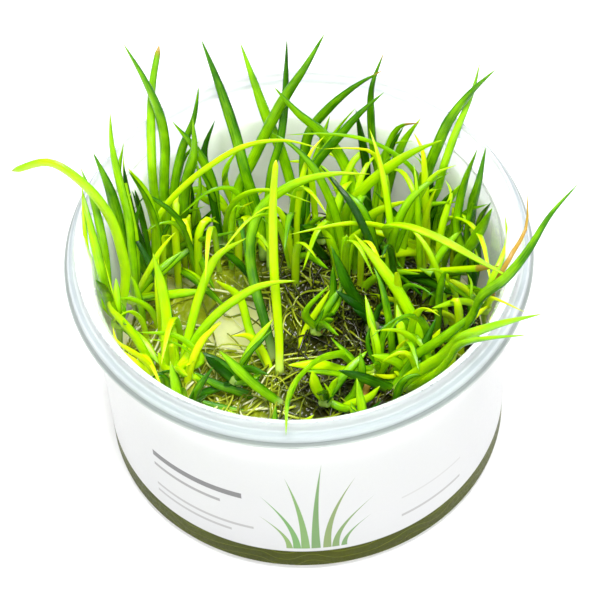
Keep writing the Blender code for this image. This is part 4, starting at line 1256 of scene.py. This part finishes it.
def root_material():
    """Wet roots: each strand its own brown, olive or straw, paler to the left, under a film of water."""
    material, tree = new_material("wet_roots")
    place = object_place(tree)
    blotch = noise(place, 160.0, 4.0, 0.6)
    fibre = noise(place, 1100.0, 3.0, 0.6)
    paler = ramp(parted(place)[0], -0.016, 0.004, 0.36, -0.24)
    return finished(material, {
        "Base Color": colour_scale(attribute(tree, "shade") + paler + (blotch - 0.5) * 0.5, ROOT_TINTS),
        "Roughness": ramp(fibre, 0.3, 0.7, 0.08, 0.30),
        "Normal": bump(fibre, 0.0003, 0.6),
        "Coat Weight": 0.6,
        "Coat Roughness": 0.04,
        "Specular IOR Level": 0.15,
        "Subsurface Weight": 0.2,
        "Subsurface Radius": (1.0, 0.8, 0.3),
        "Subsurface Scale": 0.0006,
    })


def bar_group():
    """Mask of a bar with soft edges: one inside half width and half height of its centre."""
    names = ("Across", "Height", "Centre across", "Centre height", "Half width", "Half height")
    tree, given, result = new_group("printed_bar", names, {"Mask": "NodeSocketFloat"})
    across, height, middle, level, half, thick = given
    over = (abs(across - middle) - half).step("MAXIMUM", abs(height - level) - thick)
    fill_inputs(tree, result, {"Mask": ramp(over, -BAR_BLUR, BAR_BLUR, 1.0, 0.0)})
    return tree


def reed_group():
    """Mask of a bent reed: its middle leans with the square of the height, and it narrows upwards."""
    names = ("Across", "Height", "Foot across", "Foot height", "Rise", "Lean", "Half width")
    tree, given, result = new_group("printed_reed", names, {"Mask": "NodeSocketFloat"})
    across, height, foot, level, rise, lean, half = given
    up = (height - level) / rise
    past = abs(across - (foot + lean * (up * up))) - half * (up * -1.0 + 1.0)
    inside = ramp(past, -REED_BLUR, REED_BLUR, 1.0, 0.0)
    fill_inputs(tree, result, {"Mask": inside * (up.step("GREATER_THAN", 0.0) * up.step("LESS_THAN", 1.0))})
    return tree


def printed(tree, group, values, strength, paper, ink):
    """Paper with one mark of the label's pattern over it."""
    mask = add(tree, "ShaderNodeGroup", dict(enumerate(values)), node_tree=group)
    return blend(mask * strength, paper, ink)


def label_material():
    """Printed paper: olive foot band with fine waves, ruled bars and reeds on white; inside, the paper's
    back with painted light, pale and green as lit by the leaves.
    """
    material, tree = new_material("printed_paper")
    across, height, inside = [attribute(tree, name) for name in ("round_mm", "height_mm", "inside")]
    place = object_place(tree)
    fibre = noise(place, 1500.0, 3.0, 0.6)
    tone = noise(place, 45.0, 2.0, 0.5)
    paper = blend(fibre * 0.6, *PAPER_WHITES)
    bar, reed = bar_group(), reed_group()
    for *bar_place, ink in BARS:
        paper = printed(tree, bar, (across, height, *bar_place), BAR_INK, paper, (ink, ink, ink))
    for number, (foot, rise, lean, half) in enumerate(REEDS):
        green = (0.10 + 0.03 * (number % 3), 0.26 + 0.05 * (number % 2), 0.035)
        values = (across, height, foot, REED_FOOT, rise, lean, half)
        paper = printed(tree, reed, values, REED_INK, paper, green)
    swing = (across * 0.33 + tone * 9.0).step("SINE")
    wave = ramp(abs((height * 1.3 + swing * 1.5).step("SINE")), 0.0, 0.16, 1.0, 0.0)
    olive = blend(wave * 0.6, blend(tone, *BAND_OLIVES), WAVE_OLIVE)
    front = blend(ramp(height, BAND_TOP - BAND_BLUR, BAND_TOP + BAND_BLUR, 1.0, 0.0), paper, olive)
    return finished(material, {
        # inside: the paper's back with painted green light from the leaves
        "Base Color": blend(inside.step("GREATER_THAN", 0.5), front, blend(fibre, *INNER_PAPERS_WITH_BOUNCE)),
        "Roughness": ramp(fibre, 0.3, 0.7, 0.32, 0.46),
        "Normal": bump(fibre, 0.00003, 0.4),
        "Specular IOR Level": 0.02,
        "Subsurface Weight": 0.8,
        "Subsurface Radius": (1.0, 1.0, 0.9),
        "Subsurface Scale": 0.0008,
    })


def table_material():
    """Plain white table."""
    return finished(new_material("white_table")[0], {
        "Base Color": (0.95, 0.95, 0.95),
        "Roughness": 0.9,
        "Specular IOR Level": 0.1,
    })


def make_cup_pieces():
    """Cup, label, gel and root mat."""
    cup = piece_from("cup_shell", [loose_heap(cup_grid(), {})])
    stand_for(cup, "cup", cup_material())
    cup.visible_shadow = False
    label = piece_from("paper_label", [label_heap()])
    stand_for(label, "label", label_material())
    gel = piece_from("jelly", [loose_heap(gel_grid(), {})])
    stand_for(gel, "gel", gel_material())
    blanket = piece_from("root_blanket", [loose_heap(mat_grid(), {"shade": BLANKET_SHADE})])
    cut_pockets(blanket)
    strands = piece_from("root_strands", [root_heap()])
    roots = root_material()
    stand_for(blanket, "root_mat", roots)
    stand_for(strands, "root_mat", roots)


def cut_pockets(blanket):
    """Open the pockets where the gel shows, with round cutters, and apply the cut."""
    for x, y, pocket in POCKETS:
        radius = pocket + POCKET_MARGIN
        rim = [(AXIS, CUTTER_HALF), (radius, CUTTER_HALF), (radius, -CUTTER_HALF), (AXIS, -CUTTER_HALF)]
        grid = turned_grid(np.array(rim), CUTTER_SIDES) + np.array((x, y, GEL_TOP + 1.0))
        cutter = piece_from("pocket_cutter", [loose_heap(grid, {"shade": BLANKET_SHADE})])
        cut = blanket.modifiers.new("pocket", "BOOLEAN")
        cut.operation = "DIFFERENCE"
        cut.solver = "EXACT"
        cut.object = cutter
        shown = blanket.evaluated_get(bpy.context.evaluated_depsgraph_get())
        shaped = bpy.data.meshes.new_from_object(shown)
        blanket.modifiers.clear()
        blanket.data = shaped
        bpy.data.objects.remove(cutter)


def sunk(knots):
    """Middle line with its foot let down into the roots."""
    sunk_knots = knots.copy()
    sunk_knots[0, 2] -= FOOT_SINK
    return sunk_knots


def painted_light_and_shade_at(place):
    """How much painted light or shade leaves get at a spot: painted light, yellower, at left and right, a
    painted pool of shade between.

    The pool of shade is a bell curve of the distance from its middle, and the painted light grows
    evenly with the distance to either side, except in front.
    """
    x, y = place[0], place[1]
    # painted shade: a pool of darker leaves in the middle of the tangle; painted light: lighter, yellower
    # leaves at the sides
    pool = math.exp(-((x - SHADE_POOL_MIDDLE[0]) ** 2 + (y - SHADE_POOL_MIDDLE[1]) ** 2) / SHADE_POOL_SPREAD)
    sides = min(max((abs(x - SIDES_MIDDLE) - SIDES_START) / SIDES_RUN, 0.0), 1.0)
    front = min(max((y - FRONT_START) / FRONT_RUN, 0.0), 1.0)
    return SIDES_PAINTED_LIGHT * sides * front - SHADE_POOL_DEPTH * pool


def make_plants():
    """Every long leaf and every plantlet."""
    crowns = crown_places()
    leaves = gather_leaves(crowns)
    spread_leaves(leaves, crowns)
    group = leaf_skin_group()
    finishes = {tone: leaf_material(f"waxy_{tone}", depth, soak, group)
                for tone, (_, depth, soak) in LEAF_FINISHES.items()}
    rng = np.random.default_rng(YOUNG_SEED)
    fill = fill_leaves(crowns, rng)

    def short_blade(knots, width, green, dead=0.0):
        greens = (green, green + rng.normal(*TIP_GREEN))
        return blade_heap(knots, width, SHORT_GRID, greens, rng.uniform(), dead)

    for leaf in leaves:
        if leaf.rooted:
            continue
        tone, _, greens, _ = LONG_LEAVES[leaf.node]
        width = leaf.width * WIDER * BROADER.get(leaf.node, 1.0)
        heap = blade_heap(sunk(leaf.knots), width, LEAF_GRID, greens, rng.uniform(),
                          DEAD_TIPS.get(leaf.node, 0.0), leaf.node in BLUNT_LEAVES)
        stand_for(piece_from(f"{leaf.node}_blade", [heap]), leaf.node, finishes[tone])
    for name, place in crowns.items():
        own = [leaf for leaf in leaves if leaf.node == name]
        tone = PLANTLETS[name][0] if name in PLANTLETS else "mid"
        # the plantlet's tone with painted light and shade for its spot
        level = LEAF_FINISHES[tone][0] + painted_light_and_shade_at(place)
        heaps = [crown_heap(place, level, rng.uniform())]
        for number, leaf in enumerate(own):
            green, dead = ODD_LEAVES.get((name, number), (level + rng.normal(*OWN_GREEN), 0.0))
            heaps.append(short_blade(leaf.knots, leaf.width * SHORT_WIDER, green, dead))
        for width, route in young_leaves(own, rng):
            heaps.append(short_blade(route, width, level + rng.normal(*YOUNG_GREEN)))
        for node, green, width, route in fill:
            if node == name:
                # green with painted light and shade for the leaf's foot
                heaps.append(short_blade(sunk(route), width, green + painted_light_and_shade_at(route[0])))
        stand_for(piece_from(f"{name}_tuft", heaps), name, finishes[tone])


def link(data):
    """An object in the scene, named after what it holds."""
    made = bpy.data.objects.new(data.name, data)
    bpy.context.scene.collection.objects.link(made)
    return made


def make_stage():
    """White table, soft lights and the camera of the photograph."""
    scene = bpy.context.scene
    mesh = bpy.data.meshes.new("table_top")
    mesh.from_pydata([(-4, -4, 0), (4, -4, 0), (4, 4, 0), (-4, 4, 0)], [], [(0, 1, 2, 3)])
    mesh.materials.append(table_material())
    link(mesh)
    world = bpy.data.worlds.new("studio")
    world.use_nodes = True
    fill_inputs(world.node_tree, world.node_tree.nodes["Background"],
                {"Color": (1.0, 1.0, 1.0), "Strength": ROOM_GLOW})
    scene.world = world
    scene.view_settings.view_transform = "Standard"
    scene.view_settings.gamma = PICTURE_GAMMA
    for name, place, size, power in LIGHTS:
        data = bpy.data.lights.new(name, "AREA")
        data.size = size
        data.energy = power
        lamp = link(data)
        lamp.location = place
        lamp.rotation_euler = (Vector(LIGHTS_AIM) - lamp.location).to_track_quat("-Z", "Y").to_euler()
    data = bpy.data.cameras.new("camera")
    data.sensor_width = SENSOR
    data.lens = LENS_PX * SENSOR / PICTURE_PX
    data.shift_x = (0.5 * PICTURE_PX - AIM_PX[0]) / PICTURE_PX
    data.shift_y = (AIM_PX[1] - 0.5 * PICTURE_PX) / PICTURE_PX
    data.clip_end = 20.0
    camera = link(data)
    back = Vector((0.0, -math.cos(CAMERA_ELEVATION), math.sin(CAMERA_ELEVATION)))
    camera.location = Vector((0.0, 0.0, AIM_HEIGHT * MM)) + back * CAMERA_DISTANCE * MM
    camera.rotation_mode = "QUATERNION"
    camera.rotation_quaternion = (-back).to_track_quat("-Z", "Y") @ Quaternion((0.0, 0.0, 1.0), CAMERA_ROLL)
    scene.camera = camera


make_cup_pieces()
make_plants()
make_stage()
